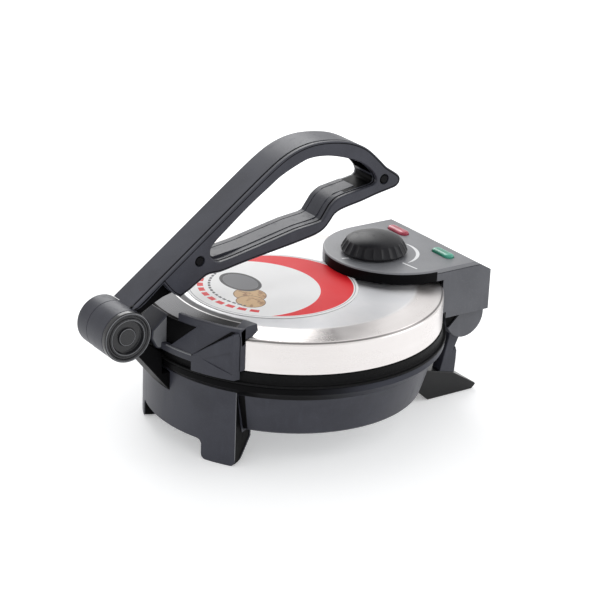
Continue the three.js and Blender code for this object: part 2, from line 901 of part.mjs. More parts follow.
const gland = onWall(turned([
  [glandBoreRadius, -glandInside],
  [glandRadius, -glandInside],
  [glandRadius, gap],
  [glandFlangeRadius, gap],
  [glandFlangeRadius - gap, glandFlange],
  [glandRadius, glandOutside],
  [glandBoreRadius, glandOutside],
  [glandBoreRadius, -glandInside],
], smallFacets), glandAngle, glandHeight);
addPart('cord_gland', gland, 'rubber');

addPart(
  'hinge_pin',
  rodX(hingePinRadius, gap - cheekOuterX, cheekOuterX - gap, hingeY, hingeZ, pinFacets),
  'zinc',
);

// Lever bracket: a hub beside the lever's barrel, and an arm down through the skirt

const fromPivot = ([y, z]) => [pivotY + y, pivotZ + z];

function leverBracket() {
  const hub = rodX(barrelRadius - gap / 2, hubFarX, hubNearX, pivotY, pivotZ, midFacets);
  const [rootTop, rootBottom] = armRootShares.map(([y, z]) => (
    fromPivot([y * barrelRadius, z * barrelRadius])
  ));
  const [underY, underZ] = armUnderShares;
  const underRamp = [rampCornerY, shelfEdgeBottom];
  const plateAt = (height) => wallInnerAt(height) - plateSeatGap;
  const tailInner = plateAt(bracketTailBottom) - bracketPlate / 3;
  const arm = slab([
    rootTop,
    rootBottom,
    fromPivot([underY * barrelRadius, underZ * barrelRadius]),
    [weld - skirtRadius, bracketTailBottom],
    [-tailInner, bracketTailBottom],
    [-tailInner, bracketTailTop],
    [bracketFrontY, bracketTailTop],
    [bracketFrontY, bracketArmTop],
    underRamp,
  ], bracketFarX, bracketNearX);
  const hubArm = slab([
    rootTop,
    rootBottom,
    fromPivot([underY * barrelRadius, underZ * barrelRadius]),
    [bracketFrontY, bracketTailTop],
    [bracketFrontY, bracketArmTop],
    underRamp,
  ], hubFarX, bracketFarX);
  const barrelRoom = rodX(
    barrelRadius + looseGap,
    hubNearX,
    bracketNearX + overrun,
    pivotY,
    pivotZ,
    midFacets,
  );
  const plate = turned([
    [plateAt(bracketPlateBottom) - bracketPlate, bracketPlateBottom],
    [plateAt(bracketPlateBottom), bracketPlateBottom],
    [plateAt(bracketPlateTop), bracketPlateTop],
    [plateAt(bracketPlateTop) - bracketPlate, bracketPlateTop],
    [plateAt(bracketPlateBottom) - bracketPlate, bracketPlateBottom],
  ]).intersect(box(
    bracketMiddle - bracketPlateHalf,
    bracketMiddle + bracketPlateHalf,
    -wallTopRadius,
    0,
    0,
    wallTop + wallThickness,
  ));
  const pinRoom = rodX(
    pivotPinRadius + gap,
    hubFarX + pinEndShy,
    hubNearX + overrun,
    pivotY,
    pivotZ,
  );
  const screwRoom = bracketScrewAngles.map((angle) => (
    onWall(rodZ(screwHole, -2 * overrun, overrun, 0, 0, pinFacets), angle, bracketScrewHeight)
  ));
  return cut(joined(hub, arm, hubArm, plate), barrelRoom, pinRoom, ...screwRoom);
}
addPart('lever_bracket', leverBracket(), 'darkPlastic');

const wallThere = wallOuterAt(bracketScrewHeight) - wallInnerAt(bracketScrewHeight);
const bracketSeat = (wallThere + plateSeatGap + bracketPlate) * Math.cos(wallAngle) + 2 * gap;
bracketScrewAngles.forEach((angle, i) => {
  const piece = screw(bracketScrewLength).translate([0, 0, -bracketSeat]);
  addPart(`bracket_screw_${i + 1}`, onWall(piece, angle, bracketScrewHeight), 'zinc');
});

addPart(
  'pivot_pin',
  rodX(pivotPinRadius, hubFarX + pinEndShy + gap, barrelNearX, pivotY, pivotZ, pinFacets),
  'zinc',
);

// Lever: a deep moulding with a flat cover on its near side

const leverPoint = ([y, z]) => fromPivot([y * leverReach, z * leverRise]);
const coverInnerX = leverHalfWidth - coverThickness;

function leverSide(fromX, toX) {
  const side = slab(leverOutlineShares.map(leverPoint).reverse(), fromX, toX);
  const hole = slab(loopShares.map(leverPoint), fromX - overrun, toX + overrun);
  return cut(side, hole);
}

function leverBody() {
  const side = leverSide(-leverHalfWidth, coverInnerX - gap);
  const core = slab(coreShares.map(leverPoint), coreFarX, coreNearX);
  const hubRoom = rodX(
    barrelRadius + looseGap,
    -leverHalfWidth - overrun,
    hubNearX + gap,
    pivotY,
    pivotZ,
    midFacets,
  );
  const barrel = rodX(barrelRadius, hubNearX + gap, barrelNearX, pivotY, pivotZ, midFacets);
  const pinRoom = rodX(
    pivotPinRadius + gap,
    hubNearX - overrun,
    barrelNearX + overrun,
    pivotY,
    pivotZ,
  );
  const pockets = [upperPocketShares, lowerPocketShares].map((shares) => (
    slab(shares.map(leverPoint), pocketSide - leverHalfWidth, coverInnerX - pocketSide)
  ));
  const screwRoom = leverScrewShares.map(leverPoint).map(([y, z]) => rodX(
    screwHole,
    coverInnerX - leverScrewLength,
    leverHalfWidth + overrun,
    y,
    z,
    pinFacets,
  ));
  return cut(
    joined(cut(joined(side, core), hubRoom), barrel),
    pinRoom,
    ...pockets,
    ...screwRoom,
  );
}
addPart('lever_body', leverBody(), 'shellPlastic');

function leverCover() {
  const barrelRoom = rodX(
    barrelRadius + gap,
    coverInnerX - overrun,
    leverHalfWidth + overrun,
    pivotY,
    pivotZ,
    midFacets,
  );
  const recesses = leverScrewShares.map(leverPoint).map(([y, z]) => joined(
    rodX(recessRadius, leverHalfWidth - recessDepth, leverHalfWidth + overrun, y, z, pinFacets),
    rodX(screwHole, coverInnerX - overrun, leverHalfWidth, y, z, pinFacets),
  ));
  return cut(leverSide(coverInnerX, leverHalfWidth), barrelRoom, ...recesses);
}
addPart('lever_cover', leverCover(), 'shellPlastic');

leverScrewShares.map(leverPoint).forEach(([y, z], i) => {
  const seat = leverHalfWidth - recessDepth + gap / 2;
  const piece = screw(leverScrewLength - coverThickness)
    .rotate([0, -90, 0])
    .translate([seat, y, z]);
  addPart(`lever_screw_${i + 1}`, piece, 'zinc');
});

function pivotCap() {
  const inner = barrelNearX + gap;
  const outer = inner + capThickness;
  return turnedX([
    [0, inner],
    [barrelRadius, inner],
    [barrelRadius, outer - capChamfer],
    [barrelRadius - capChamfer, outer],
    [capGrooveOuter, outer],
    [capGrooveOuter - capGrooveDepth / 2, outer - capGrooveDepth],
    [capGrooveInner, outer - capGrooveDepth],
    [capGrooveInner, outer],
    [capRecessRadius + capGrooveDepth, outer],
    [capRecessRadius, outer - capRecessDepth],
    [capButtonRadius, outer - capRecessDepth],
    [capButtonRadius, outer - capRecessDepth + capButtonRise],
    [0, outer - capRecessDepth + capButtonRise],
  ], pivotY, pivotZ, midFacets);
}
addPart('pivot_cap', pivotCap(), 'shellPlastic');

// Lid

function lidPan() {
  const shell = turned([
    [0, panTop - panSheet],
    [panBevelInner - panSheet / 2, panTop - panSheet],
    [panRadius - panShoulder, panBevelOuter - panSheet],
    [panRadius - panSheet, panSideTop - panSheet / 2],
    [panRadius - panSheet, panBottom],
    [panRadius, panBottom],
    [panRadius, panSideTop],
    [panRadius - panShoulder / 3, panBevelOuter - panShoulder / 3],
    [panRadius - panShoulder, panBevelOuter],
    [panBevelInner, panTop],
    [0, panTop],
  ]);
  const spindleRoom = rodZ(spindleHole, panTop - overrun, panTop + overrun, 0, knobY);
  const gripHoles = [-1, 1].map((side) => turnedTo(
    rodZ(screwHole, panRadius - overrun, panRadius + overrun, 0, 0, pinFacets)
      .rotate([90, 0, 0])
      .translate([0, 0, gripScrewHeight]),
    side * gripScrewAngle,
  ));
  return cut(shell, spindleRoom, ...gripHoles);
}
addPart('lid_pan', lidPan(), 'steel');

const upperPlate = turned([
  [0, upperPlateBottom],
  [upperPlateRadius - platesGap, upperPlateBottom],
  [upperPlateRadius, upperPlateBottom + platesGap],
  [upperPlateRadius, upperPlateTop + upperRimRise],
  [upperPlateRadius - upperRimWidth, upperPlateTop + upperRimRise],
  [upperPlateRadius - upperRimWidth - panSheet, upperPlateTop],
  [0, upperPlateTop],
]);
addPart('upper_plate', upperPlate, 'coating');

const upperElementRoom = rodZ(
  thermostatRadius + looseGap,
  upperPlateTop,
  panTop,
  0,
  knobY,
);
const upperElementZ = upperPlateTop + elementTube + elementGap;
const upperTailZ = upperShieldHeight - elementTube - 2 * looseGap;
addPart('upper_element', element(upperElementZ, upperTailZ), 'element');
addPart(
  'lid_shield',
  cut(shield(upperShieldRadius, upperShieldHeight, -1), upperElementRoom),
  'sheet',
);
spacerAngles.forEach((angle, i) => {
  const piece = spacer(upperPlateTop + gap, panTop - panSheet - gap, upperShieldHeight - gap, angle);
  addPart(`lid_spacer_${i + 1}`, piece, 'zinc');
});

// Control head: the D-shaped outline in plan, at a given inset
function headOutline(inset, rear) {
  const shape = new THREE.Shape();
  const half = headHalfWidth - inset;
  shape.moveTo(half, headCentreY);
  shape.lineTo(half, rear);
  shape.lineTo(-half, rear);
  shape.lineTo(-half, headCentreY);
  shape.absarc(0, headCentreY, half, Math.PI, 2 * Math.PI, false);
  return shape;
}

// Everything below the bevel along the head's top rear edge
function underBevel(drop) {
  const back = headRear + overrun;
  const slope = bevelDrop / (headRear - bevelTopY);
  return slab([
    [0, 0],
    [back, 0],
    [back, panelTop - bevelDrop - overrun * slope - drop],
    [bevelTopY - drop / slope, panelTop],
    [0, panelTop],
  ], -headHalfWidth - overrun, headHalfWidth + overrun);
}

function aroundPan(radius, toZ) {
  return rodZ(radius, 0, toZ, 0, 0, bigFacets);
}

const cutRadius = panRadius + looseGap;
const lowCutRadius = lipRadius + headLipGap;
const lowCutTop = plateTop + looseGap;

function headHollow() {
  const deep = platedShape(headOutline(headWall, headRear - headWall), headBottom - overrun, trayTop);
  const trayRoom = platedShape(
    headOutline(headWall, headRear - headWall),
    trayBottom + headFloor,
    panelTop,
  );
  const outsidePan = cut(
    deep,
    aroundPan(cutRadius + headWall, trayBottom + headFloor),
    aroundPan(lowCutRadius + headWall, lowCutTop + headWall),
  );
  return joined(outsidePan, trayRoom).intersect(underBevel(bevelWall));
}

function cheek(side) {
  const from = side > 0 ? cheekInnerX : -cheekOuterX;
  const to = side > 0 ? cheekOuterX : -cheekInnerX;
  const wallX = headHalfWidth - headWall / 2;
  const gussetFrom = side > 0 ? cheekInnerX : -wallX;
  const gussetTo = side > 0 ? wallX : -cheekInnerX;
  const gusset = box(
    gussetFrom,
    gussetTo,
    hingeY - cheekRadius,
    headRear - headWall / 2,
    headBottom,
    gussetTop,
  );
  return joined(rodX(cheekRadius, from, to, hingeY, hingeZ, midFacets), gusset);
}

function panelScrewPlaces() {
  return [-1, 1].map((side) => [side * panelScrewX, panelScrewY]);
}

function headHousing() {
  const outer = platedShape(headOutline(0, headRear), headBottom, trayTop);
  const bosses = panelScrewPlaces().map(([x, y]) => (
    rodZ(panelBossRadius, trayBottom, trayTop, x, y, pinFacets)
  ));
  const shell = joined(cut(outer, headHollow()), cheek(-1), cheek(1), ...bosses)
    .intersect(underBevel(0));
  return cut(
    shell,
    aroundPan(cutRadius, trayBottom),
    aroundPan(lowCutRadius, lowCutTop),
    rodX(hingePinRadius + gap, -headHalfWidth + headWall, headHalfWidth - headWall, hingeY, hingeZ),
    rodZ(spindleHole, trayBottom - overrun, trayTop + overrun, 0, knobY),
    ...panelScrewPlaces().map(([x, y]) => (
      rodZ(screwHole, trayBottom + headFloor, trayTop + overrun, x, y, pinFacets)
    )),
  );
}
addPart('head_housing', headHousing(), 'headPlastic');

// A lamp's rounded bar in plan, grown by a clearance
function lampOutline(x, grown) {
  const radius = lampWidth / 2 + grown;
  const half = lampLength / 2 - lampWidth / 2;
  const shape = new THREE.Shape();
  shape.absarc(x + half, lampY, radius, -Math.PI / 2, Math.PI / 2, false);
  shape.absarc(x - half, lampY, radius, Math.PI / 2, 3 * Math.PI / 2, false);
  return shape;
}

function headPanel() {
  const plate = platedShape(headOutline(0, headRear), panelBottom, panelTop)
    .intersect(underBevel(0));
  return cut(
    plate,
    rodZ(spindleHole, panelBottom - overrun, panelTop + overrun, 0, knobY),
    ...[-1, 1].map((side) => platedShape(
      lampOutline(side * lampX, gap),
      panelBottom - overrun,
      panelTop + overrun,
      pinFacets / 2,
    )),
    ...panelScrewPlaces().map(([x, y]) => (
      rodZ(screwHole, panelBottom - overrun, panelBottom + panelThickness / 2, x, y, pinFacets)
    )),
  );
}
addPart('head_panel', headPanel(), 'headPlastic');

panelScrewPlaces().forEach(([x, y], i) => {
  const shank = rodZ(
    screwShankRadius,
    trayBottom + headFloor + panelScrewShy,
    panelBottom + panelThickness / 2 - gap,
    x,
    y,
    pinFacets,
  );
  addPart(`panel_stud_${i + 1}`, shank, 'zinc');
});

[[-1, 'lamp_red', 'redLens'], [1, 'lamp_green', 'greenLens']].forEach(([side, name, finish]) => {
  const lens = platedShape(
    lampOutline(side * lampX, 0),
    panelBottom - lampBelowPanel,
    panelTop + lampAbovePanel,
    pinFacets / 2,
  );
  addPart(name, lens, finish);
});

// Thermostat on the upper plate, with a spindle up to the knob
const thermostatTop = upperPlateTop + gap + thermostatRise;
const spindleTop = knobBottom + spindleInKnob;
addPart(
  'thermostat',
  rodZ(thermostatRadius, upperPlateTop + gap, thermostatTop, 0, knobY),
  'phenolic',
);
addPart(
  'thermostat_spindle',
  rodZ(spindleRadius, thermostatTop + gap, spindleTop, 0, knobY, pinFacets),
  'zinc',
);

function knob() {
  const skirtBottomZ = knobBottom + knobBaseRise;
  const skirtTopZ = skirtBottomZ + knobSkirtRise;
  const shoulderZ = skirtTopZ + knobShoulderRise;
  const domeZ = shoulderZ + knobDomeRise;
  return turned([
    [0, spindleTop + gap],
    [spindleRadius + gap, spindleTop + gap],
    [spindleRadius + gap, knobBottom],
    [knobBaseRadius, knobBottom],
    [knobBaseRadius, skirtBottomZ],
    [knobSkirtRadius, skirtBottomZ],
    [knobSkirtRadius, skirtTopZ],
    [knobShoulderRadius, shoulderZ],
    ...knobDomeShares.map(([out, up]) => [out * knobShoulderRadius, shoulderZ + up * knobDomeRise]),
    [0, domeZ],
  ], midFacets).translate([0, knobY, 0]);
}
addPart('knob', knob(), 'darkPlastic');

// Front grip: a wall round the pan, two wings, a shelf between them and the ramp the lever presses.
// On its near side the wall stands higher and the wing ends in a claw; its far end is cut low.

function wing(side) {
  const from = side > 0 ? wingStart : -gripAngle;
  const to = side > 0 ? gripAngle : -wingStart;
  const body = frontArc(wingInnerRadius - gap, wingRadius, from, to, wingBottom, wingTop);
  const startX = wingRadius * Math.sin(wingStart);
  const top = new THREE.Shape();
  top.moveTo(side * (startX - overrun), wingStartHeight);
  top.lineTo(side * startX, wingStartHeight);
  top.lineTo(side * gripHalfWidth, wingTop);
  top.lineTo(side * (gripHalfWidth + 2 * overrun), wingTop);
  top.lineTo(side * (gripHalfWidth + 2 * overrun), wingTop + overrun);
  top.lineTo(side * (startX - overrun), wingTop + overrun);
  const depth = wingRadius + overrun;
  const cutter = new THREE.ExtrudeGeometry(top, { depth, bevelEnabled: false });
  cutter.rotateX(Math.PI / 2);
  return cut(body, solid(cutter));
}

// The claw leans over the pan's rim at the wing's end; shares go inwards from that end
function claw() {
  return wasm.Manifold.hull(clawShares.map(([x, y, z]) => [
    gripHalfWidth - x * clawWidth,
    wingEndY + y * clawLength,
    clawBottom + z * clawDepth,
  ]));
}

function frontGrip() {
  const wallArc = (from, to, top) => (
    frontArc(gripInnerRadius, gripInnerRadius + gripWall + looseGap, from, to, gripBottom, top)
  );
  const wall = wallArc(-gripAngle, parapetStart + weldAngle, gripTop);
  const parapet = wallArc(parapetStart, gripAngle, parapetTop);
  const panRoom = turned([
    [0, panBottom],
    [gripInnerRadius, panBottom],
    [gripInnerRadius, panBevelOuter],
    [panRadius - panShoulder, panBevelOuter + gripFit],
    [panBevelInner, panTop + gripFit],
    [0, panTop + gripFit],
  ]);
  const width = box(-gripHalfWidth, gripHalfWidth, -wingRadius - overrun, 0, 0, panelTop);
  const farRoom = box(
    -gripHalfWidth - overrun, -farEndX, -wingRadius - overrun, 0, farEndTop, panelTop,
  );
  const shelfTop = wingStartHeight;
  const shelf = frontArc(
    gripInnerRadius + gripWall,
    wingRadius - weld / 2,
    -wingStart - weldAngle,
    wingStart + weldAngle,
    shelfBottom,
    shelfTop,
  );
  const edge = frontArc(
    wingRadius - shelfEdge,
    wingRadius,
    -wingStart - 2 * weldAngle,
    wingStart + 2 * weldAngle,
    shelfEdgeBottom,
    shelfTop,
  );
  const rampRise = gripTop - gripBottom;
  const ramp = slab([
    [rampBackY, gripBottom],
    [rampBackY, gripTop],
    ...rampNoseShares.map(([y, z]) => [rampBackY - y * rampReach, gripBottom + z * rampRise]),
    [rampCornerY, shelfEdgeBottom + rampCornerLift],
    [rampBackY - rampHeelShare * rampReach, gripBottom],
  ], -rampHalfWidth, rampHalfWidth);
  const screwRoom = [-1, 1].map((side) => turnedTo(
    rodZ(screwHole, panRadius - overrun, panRadius + gripScrewLength, 0, 0, pinFacets)
      .rotate([90, 0, 0])
      .translate([0, 0, gripScrewHeight]),
    side * gripScrewAngle,
  ));
  const wide = joined(wall, parapet, wing(-1), wing(1), cut(claw(), panRoom)).intersect(width);
  return cut(joined(wide, shelf, edge, ramp), farRoom, ...screwRoom);
}
addPart('front_grip', frontGrip(), 'shellPlastic');

[-1, 1].forEach((side, i) => {
  const piece = screw(gripScrewLength)
    .rotate([90, 0, 0])
    .translate([0, panSheet + gap / 2 - panRadius + gap, gripScrewHeight]);
  addPart(`grip_screw_${i + 1}`, turnedTo(piece, side * gripScrewAngle), 'zinc');
});

addPart(
  'label_disc',
  rodZ(labelRadius, panTop + labelGap, panTop + labelGap + labelThickness, 0, labelY, bigFacets),
  'paper',
);

// The origin lies under the middle of the whole part, between the barrel and the foot's tip
assembly.position.y = (barrelRadius - pivotY - footTip) / 2;

export default assembly;
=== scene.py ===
import math

import bmesh
import bpy
from mathutils import Matrix, Vector
from mathutils.geometry import tessellate_polygon


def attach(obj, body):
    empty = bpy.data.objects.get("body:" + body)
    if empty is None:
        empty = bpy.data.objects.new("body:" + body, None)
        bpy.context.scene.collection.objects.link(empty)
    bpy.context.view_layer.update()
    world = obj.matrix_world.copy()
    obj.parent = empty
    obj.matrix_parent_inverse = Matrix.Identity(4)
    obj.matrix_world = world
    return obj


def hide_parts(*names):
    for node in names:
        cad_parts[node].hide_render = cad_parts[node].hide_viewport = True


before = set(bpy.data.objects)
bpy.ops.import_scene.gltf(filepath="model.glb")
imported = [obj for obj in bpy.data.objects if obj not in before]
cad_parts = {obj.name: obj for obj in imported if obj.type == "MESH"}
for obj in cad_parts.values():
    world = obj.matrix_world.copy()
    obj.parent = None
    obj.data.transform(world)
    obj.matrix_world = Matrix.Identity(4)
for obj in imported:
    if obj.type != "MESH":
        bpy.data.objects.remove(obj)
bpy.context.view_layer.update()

# Base shell
# One injection moulding in slate grey plastic: a tapered round wall with a flared flange, a front
# skirt on two wedge legs, a hollow rear foot and the two posts that carry the lid's hinge.
# Sizes are millimetres, measured from the table and from the axis of the plates.

MM = 0.001
AXIS_Y = 11.5
SAME_POINT = 0.0005
SHARP = math.radians(34)


def placed(name, mesh):
    piece = bpy.data.objects.new(name, mesh)
    bpy.context.scene.collection.objects.link(piece)
    return piece


def piece_from(name, points, faces):
    mesh = bpy.data.meshes.new(name)
    mesh.from_pydata(points, [], faces)
    shell = bmesh.new()
    shell.from_mesh(mesh)
    bmesh.ops.remove_doubles(shell, verts=shell.verts, dist=SAME_POINT)
    bmesh.ops.dissolve_degenerate(shell, edges=shell.edges, dist=SAME_POINT)
    bmesh.ops.recalc_face_normals(shell, faces=shell.faces)
    shell.to_mesh(mesh)
    shell.free()
    return placed(name, mesh)


def rounded(points, radius, steps=4):
    """Rounds the corners of a closed outline; a third number is that corner's own radius"""
    nearly_straight, most = math.radians(176), 0.48
    out = []
    for i, point in enumerate(points):
        here = Vector(point[:2])
        size = point[2] if len(point) > 2 else radius
        before = Vector(points[i - 1][:2]) - here
        after = Vector(points[(i + 1) % len(points)][:2]) - here
        turn = before.angle(after)
        if size == 0 or turn > nearly_straight:
            out.append((here.x, here.y))
            continue
        reach = min(size / math.tan(turn / 2), most * before.length, most * after.length)
        start = here + before.normalized() * reach
        end = here + after.normalized() * reach
        for k in range(steps + 1):
            t = k / steps
            spot = start.lerp(here, t).lerp(here.lerp(end, t), t)
            out.append((spot.x, spot.y))
    return out


def walls(rings, size, closed, first=0):
    """The faces between neighbouring rings of points, and from the last to the first if closed"""
    faces = []
    for i in range(rings if closed else rings - 1):
        low, high = first + i * size, first + (i + 1) % rings * size
        faces += [(low + k, low + (k + 1) % size, high + (k + 1) % size, high + k) for k in range(size)]
    return faces


def swept(name, section, start=0.0, sweep=360.0, steps=144):
    """A section of radius and height pairs swept round the plates' axis from the front, 0 degrees

    The section is one list, or a function that gives the list at an angle.
    """
    closed = sweep >= 360
    count = steps if closed else steps + 1
    angles = [math.radians(start + sweep * i / steps) for i in range(count)]
    rings = [section(angle) if callable(section) else section for angle in angles]
    size = len(rings[0])
    points = []
    for angle, ring in zip(angles, rings):
        points += [(r * math.sin(angle), -r * math.cos(angle), z) for r, z in ring]
    faces = walls(count, size, closed)
    if not closed:
        faces.append(tuple(range(size)))
        faces.append(tuple((count - 1) * size + k for k in range(size)))
    return piece_from(name, points, faces)


def turned(name, profile, steps=144, at=None, along="Z"):
    """A profile of radius and height pairs turned about the Z axis, or about X through a point"""
    piece = swept(name, profile, steps=steps)
    if along == "X":
        piece.data.transform(Matrix.Rotation(math.radians(90), 4, "Y"))
        piece.data.transform(Matrix.Translation((0, at[0], at[1])))
    elif at:
        piece.data.transform(Matrix.Translation((at[0], at[1], 0)))
    return piece


def area_of(loop):
    return sum(a[0] * b[1] - b[0] * a[1] for a, b in zip(loop, loop[1:] + loop[:1])) / 2


def inset(loop, amount):
    """Moves each side of a loop to its left: an outer outline shrinks, and a hole grows"""
    out = []
    for i, point in enumerate(loop):
        here = Vector(point[:2])
        before = (here - Vector(loop[i - 1][:2])).normalized()
        after = (Vector(loop[(i + 1) % len(loop)][:2]) - here).normalized()
        left = Vector((-before.y - after.y, before.x + after.x))
        if left.length < 0.2:
            left = Vector((-before.y, before.x))
        left.normalize()
        share = max(0.5, left.dot(Vector((-before.y, before.x))))
        out.append(tuple(here + left * (amount / share)))
    return out


def moulded(name, loops, sections, along="Z"):
    """An outline with holes built up from (inset, height) steps, one list of steps for each loop"""
    if not isinstance(sections[0], list):
        sections = [sections] * len(loops)
    put = {
        "X": lambda a, b, h: (h, a, b),
        "Y": lambda a, b, h: (a, h, b),
        "Z": lambda a, b, h: (a, b, h),
    }[along]
    points, faces, caps = [], [], ([], [])
    for number, (loop, section) in enumerate(zip(loops, sections)):
        loop = [tuple(p[:2]) for p in loop]
        if (area_of(loop) > 0) != (number == 0):
            loop.reverse()
        first = len(points)
        rings = [[(x, y, h) for x, y in inset(loop, d)] for d, h in section]
        for ring in rings:
            points += [put(*p) for p in ring]
        faces += walls(len(rings), len(loop), False, first)
        caps[0].append((rings[0], first))
        caps[1].append((rings[-1], first + (len(rings) - 1) * len(loop)))
    for cap in caps:
        index = [start + k for ring, start in cap for k in range(len(ring))]
        flat = [[Vector((x, y, 0)) for x, y, h in ring] for ring, start in cap]
        faces += [tuple(index[k] for k in tri) for tri in tessellate_polygon(flat)]
    return piece_from(name, points, faces)


def slab(name, outline, low, high, along="Z"):
    return moulded(name, [outline], [(0, low), (0, high)], along)


def disc(name, radius, low, high, steps=144, at=None, along="Z"):
    return turned(name, [(0, low), (radius, low), (radius, high), (0, high)], steps, at, along)


def arc_of(centre, radius, degrees):
    turns = [math.radians(a) for a in degrees]
    return [(centre[0] + radius * math.cos(t), centre[1] + radius * math.sin(t)) for t in turns]


def eased_block(low, high, edge):
    """The steps of a plain block whose edges are rounded by the same amount on both faces"""
    arc = [(1, 0), (0.62, 0.08), (0.29, 0.29), (0.08, 0.62), (0, 1)]
    return ([(edge * a, low + edge * b) for a, b in arc]
            + [(edge * a, high - edge * b) for a, b in reversed(arc)])


def bar(name, outline, low, high, edge):
    return moulded(name, [outline], eased_block(low, high, edge), "X")


def applied(piece):
    graph = bpy.context.evaluated_depsgraph_get()
    mesh = bpy.data.meshes.new_from_object(piece.evaluated_get(graph))
    old = piece.data
    piece.modifiers.clear()
    piece.data = mesh
    bpy.data.meshes.remove(old)
    mesh.name = piece.name
    return piece


def combined(piece, tool, operation, folded=False):
    """Adds or cuts by a tool; a folded piece may have small overlaps of its own in sharp corners"""
    change = piece.modifiers.new("change", "BOOLEAN")
    change.operation = operation
    change.solver = "EXACT"
    change.use_self = folded
    change.object = tool
    applied(piece)
    bpy.data.objects.remove(tool)
    return piece


def cut(piece, *tools, folded=False):
    for tool in tools:
        combined(piece, tool, "DIFFERENCE", folded)
    return piece


def spun(piece, degrees):
    piece.data.transform(Matrix.Rotation(math.radians(degrees), 4, "Z"))
    return piece


def eased(piece, width, segments=3):
    bevel = piece.modifiers.new("ease", "BEVEL")
    bevel.width = width
    bevel.segments = segments
    bevel.limit_method = "ANGLE"
    bevel.angle_limit = SHARP
    bevel.use_clamp_overlap = True
    return applied(piece)


def gathered(name, *pieces):
    """Several closed shells as one piece"""
    shell = bmesh.new()
    for piece in pieces:
        shell.from_mesh(piece.data)
        bpy.data.objects.remove(piece)
    mesh = bpy.data.meshes.new(name)
    shell.to_mesh(mesh)
    shell.free()
    return placed(name, mesh)


def fitted(piece, body, slot, material, *nodes):
    """Takes a finished piece from millimetres on the plates' axis to the row frame"""
    piece.data.transform(Matrix.Translation((0, AXIS_Y * MM, 0)) @ Matrix.Scale(MM, 4))
    piece.data.shade_smooth()
    piece.data.set_sharp_from_angle(angle=SHARP)
    weight = piece.modifiers.new("weight", "WEIGHTED_NORMAL")
    weight.keep_sharp = True
    applied(piece)
    piece.data.materials.clear()
    piece.data.materials.append(material)
    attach(piece, body)
    if nodes:
        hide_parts(*nodes)
    return piece


def operator(name, swapped=False):
    def method(self, other):
        return self.graph.maths(name, *((other, self) if swapped else (self, other)))
    return method


class Value:
    """A shader socket that adds its Math nodes where it is used in an expression"""

    def __init__(self, graph, socket):
        self.graph = graph
        self.socket = socket

    def __abs__(self):
        return self.graph.maths("ABSOLUTE", self)

    __add__ = __radd__ = operator("ADD")
    __mul__ = __rmul__ = operator("MULTIPLY")
    __sub__, __rsub__ = operator("SUBTRACT"), operator("SUBTRACT", swapped=True)
    __lt__, __gt__ = operator("LESS_THAN"), operator("GREATER_THAN")


class Graph:
    """A node tree, in which one method makes any node and links or sets its inputs"""

    def __init__(self, tree):
        self.tree = tree

    def node(self, kind, settings=None, inputs=None, output=0):
        made = self.tree.nodes.new(kind)
        for name, value in (settings or {}).items():
            setattr(made, name, value)
        for name, value in (inputs or {}).items():
            if isinstance(value, Value):
                self.tree.links.new(value.socket, made.inputs[name])
            else:
                made.inputs[name].default_value = value
        return Value(self, made.outputs[output])

    def maths(self, operation, *terms):
        return self.node("ShaderNodeMath", {"operation": operation}, dict(enumerate(terms)))

    def vector_maths(self, operation, *terms):
        return self.node("ShaderNodeVectorMath", {"operation": operation}, dict(enumerate(terms)))


class Finish(Graph):
    """A material round one Principled shader, whose plain values are set on its own sockets"""

    def __init__(self, name, **plain):
        self.material = bpy.data.materials.new(name)
        self.material.use_nodes = True
        super().__init__(self.material.node_tree)
        self.shader = self.tree.nodes["Principled BSDF"]
        for socket, value in plain.items():
            self.shader.inputs[socket.replace("_", " ")].default_value = value

    def place(self, stretch=(1, 1, 1)):
        spot = self.node("ShaderNodeTexCoord", output="Object")
        return spot if stretch == (1, 1, 1) else self.vector_maths("MULTIPLY", spot, stretch)

    def from_point(self, y):
        """Where the surface lies from an upright line in the middle plane"""
        return self.vector_maths("SUBTRACT", self.place(), (0, y * MM, 0))

    def split(self, vector, axes):
        return [self.node("ShaderNodeSeparateXYZ", None, {0: vector}, axis) for axis in axes]

    def noise(self, scale, detail=3.0, stretch=(1, 1, 1), vector=None):
        inputs = {"Vector": vector or self.place(stretch), "Scale": scale, "Detail": detail}
        return self.node("ShaderNodeTexNoise", None, {**inputs, "Roughness": 0.55})

    def ramp(self, value, low, high, to_low=0.0, to_high=1.0):
        names = ("Value", "From Min", "From Max", "To Min", "To Max")
        inputs = dict(zip(names, (value, low, high, to_low, to_high)))
        return self.node("ShaderNodeMapRange", {"interpolation_type": "SMOOTHSTEP"}, inputs)

    def blend(self, mask, first, second):
        paint = [c if isinstance(c, Value) else (*c, 1) for c in (first, second)]
        return self.node("ShaderNodeMix", {"data_type": "RGBA"}, {0: mask, 6: paint[0], 7: paint[1]}, 2)

    def bump(self, height, distance, strength=1.0):
        inputs = {"Height": height, "Distance": distance, "Strength": strength}
        return self.node("ShaderNodeBump", None, inputs)

    def paint(self, **sockets):
        for socket, value in sockets.items():
            self.tree.links.new(value.socket, self.shader.inputs[socket.replace("_", " ")])
        return self.material


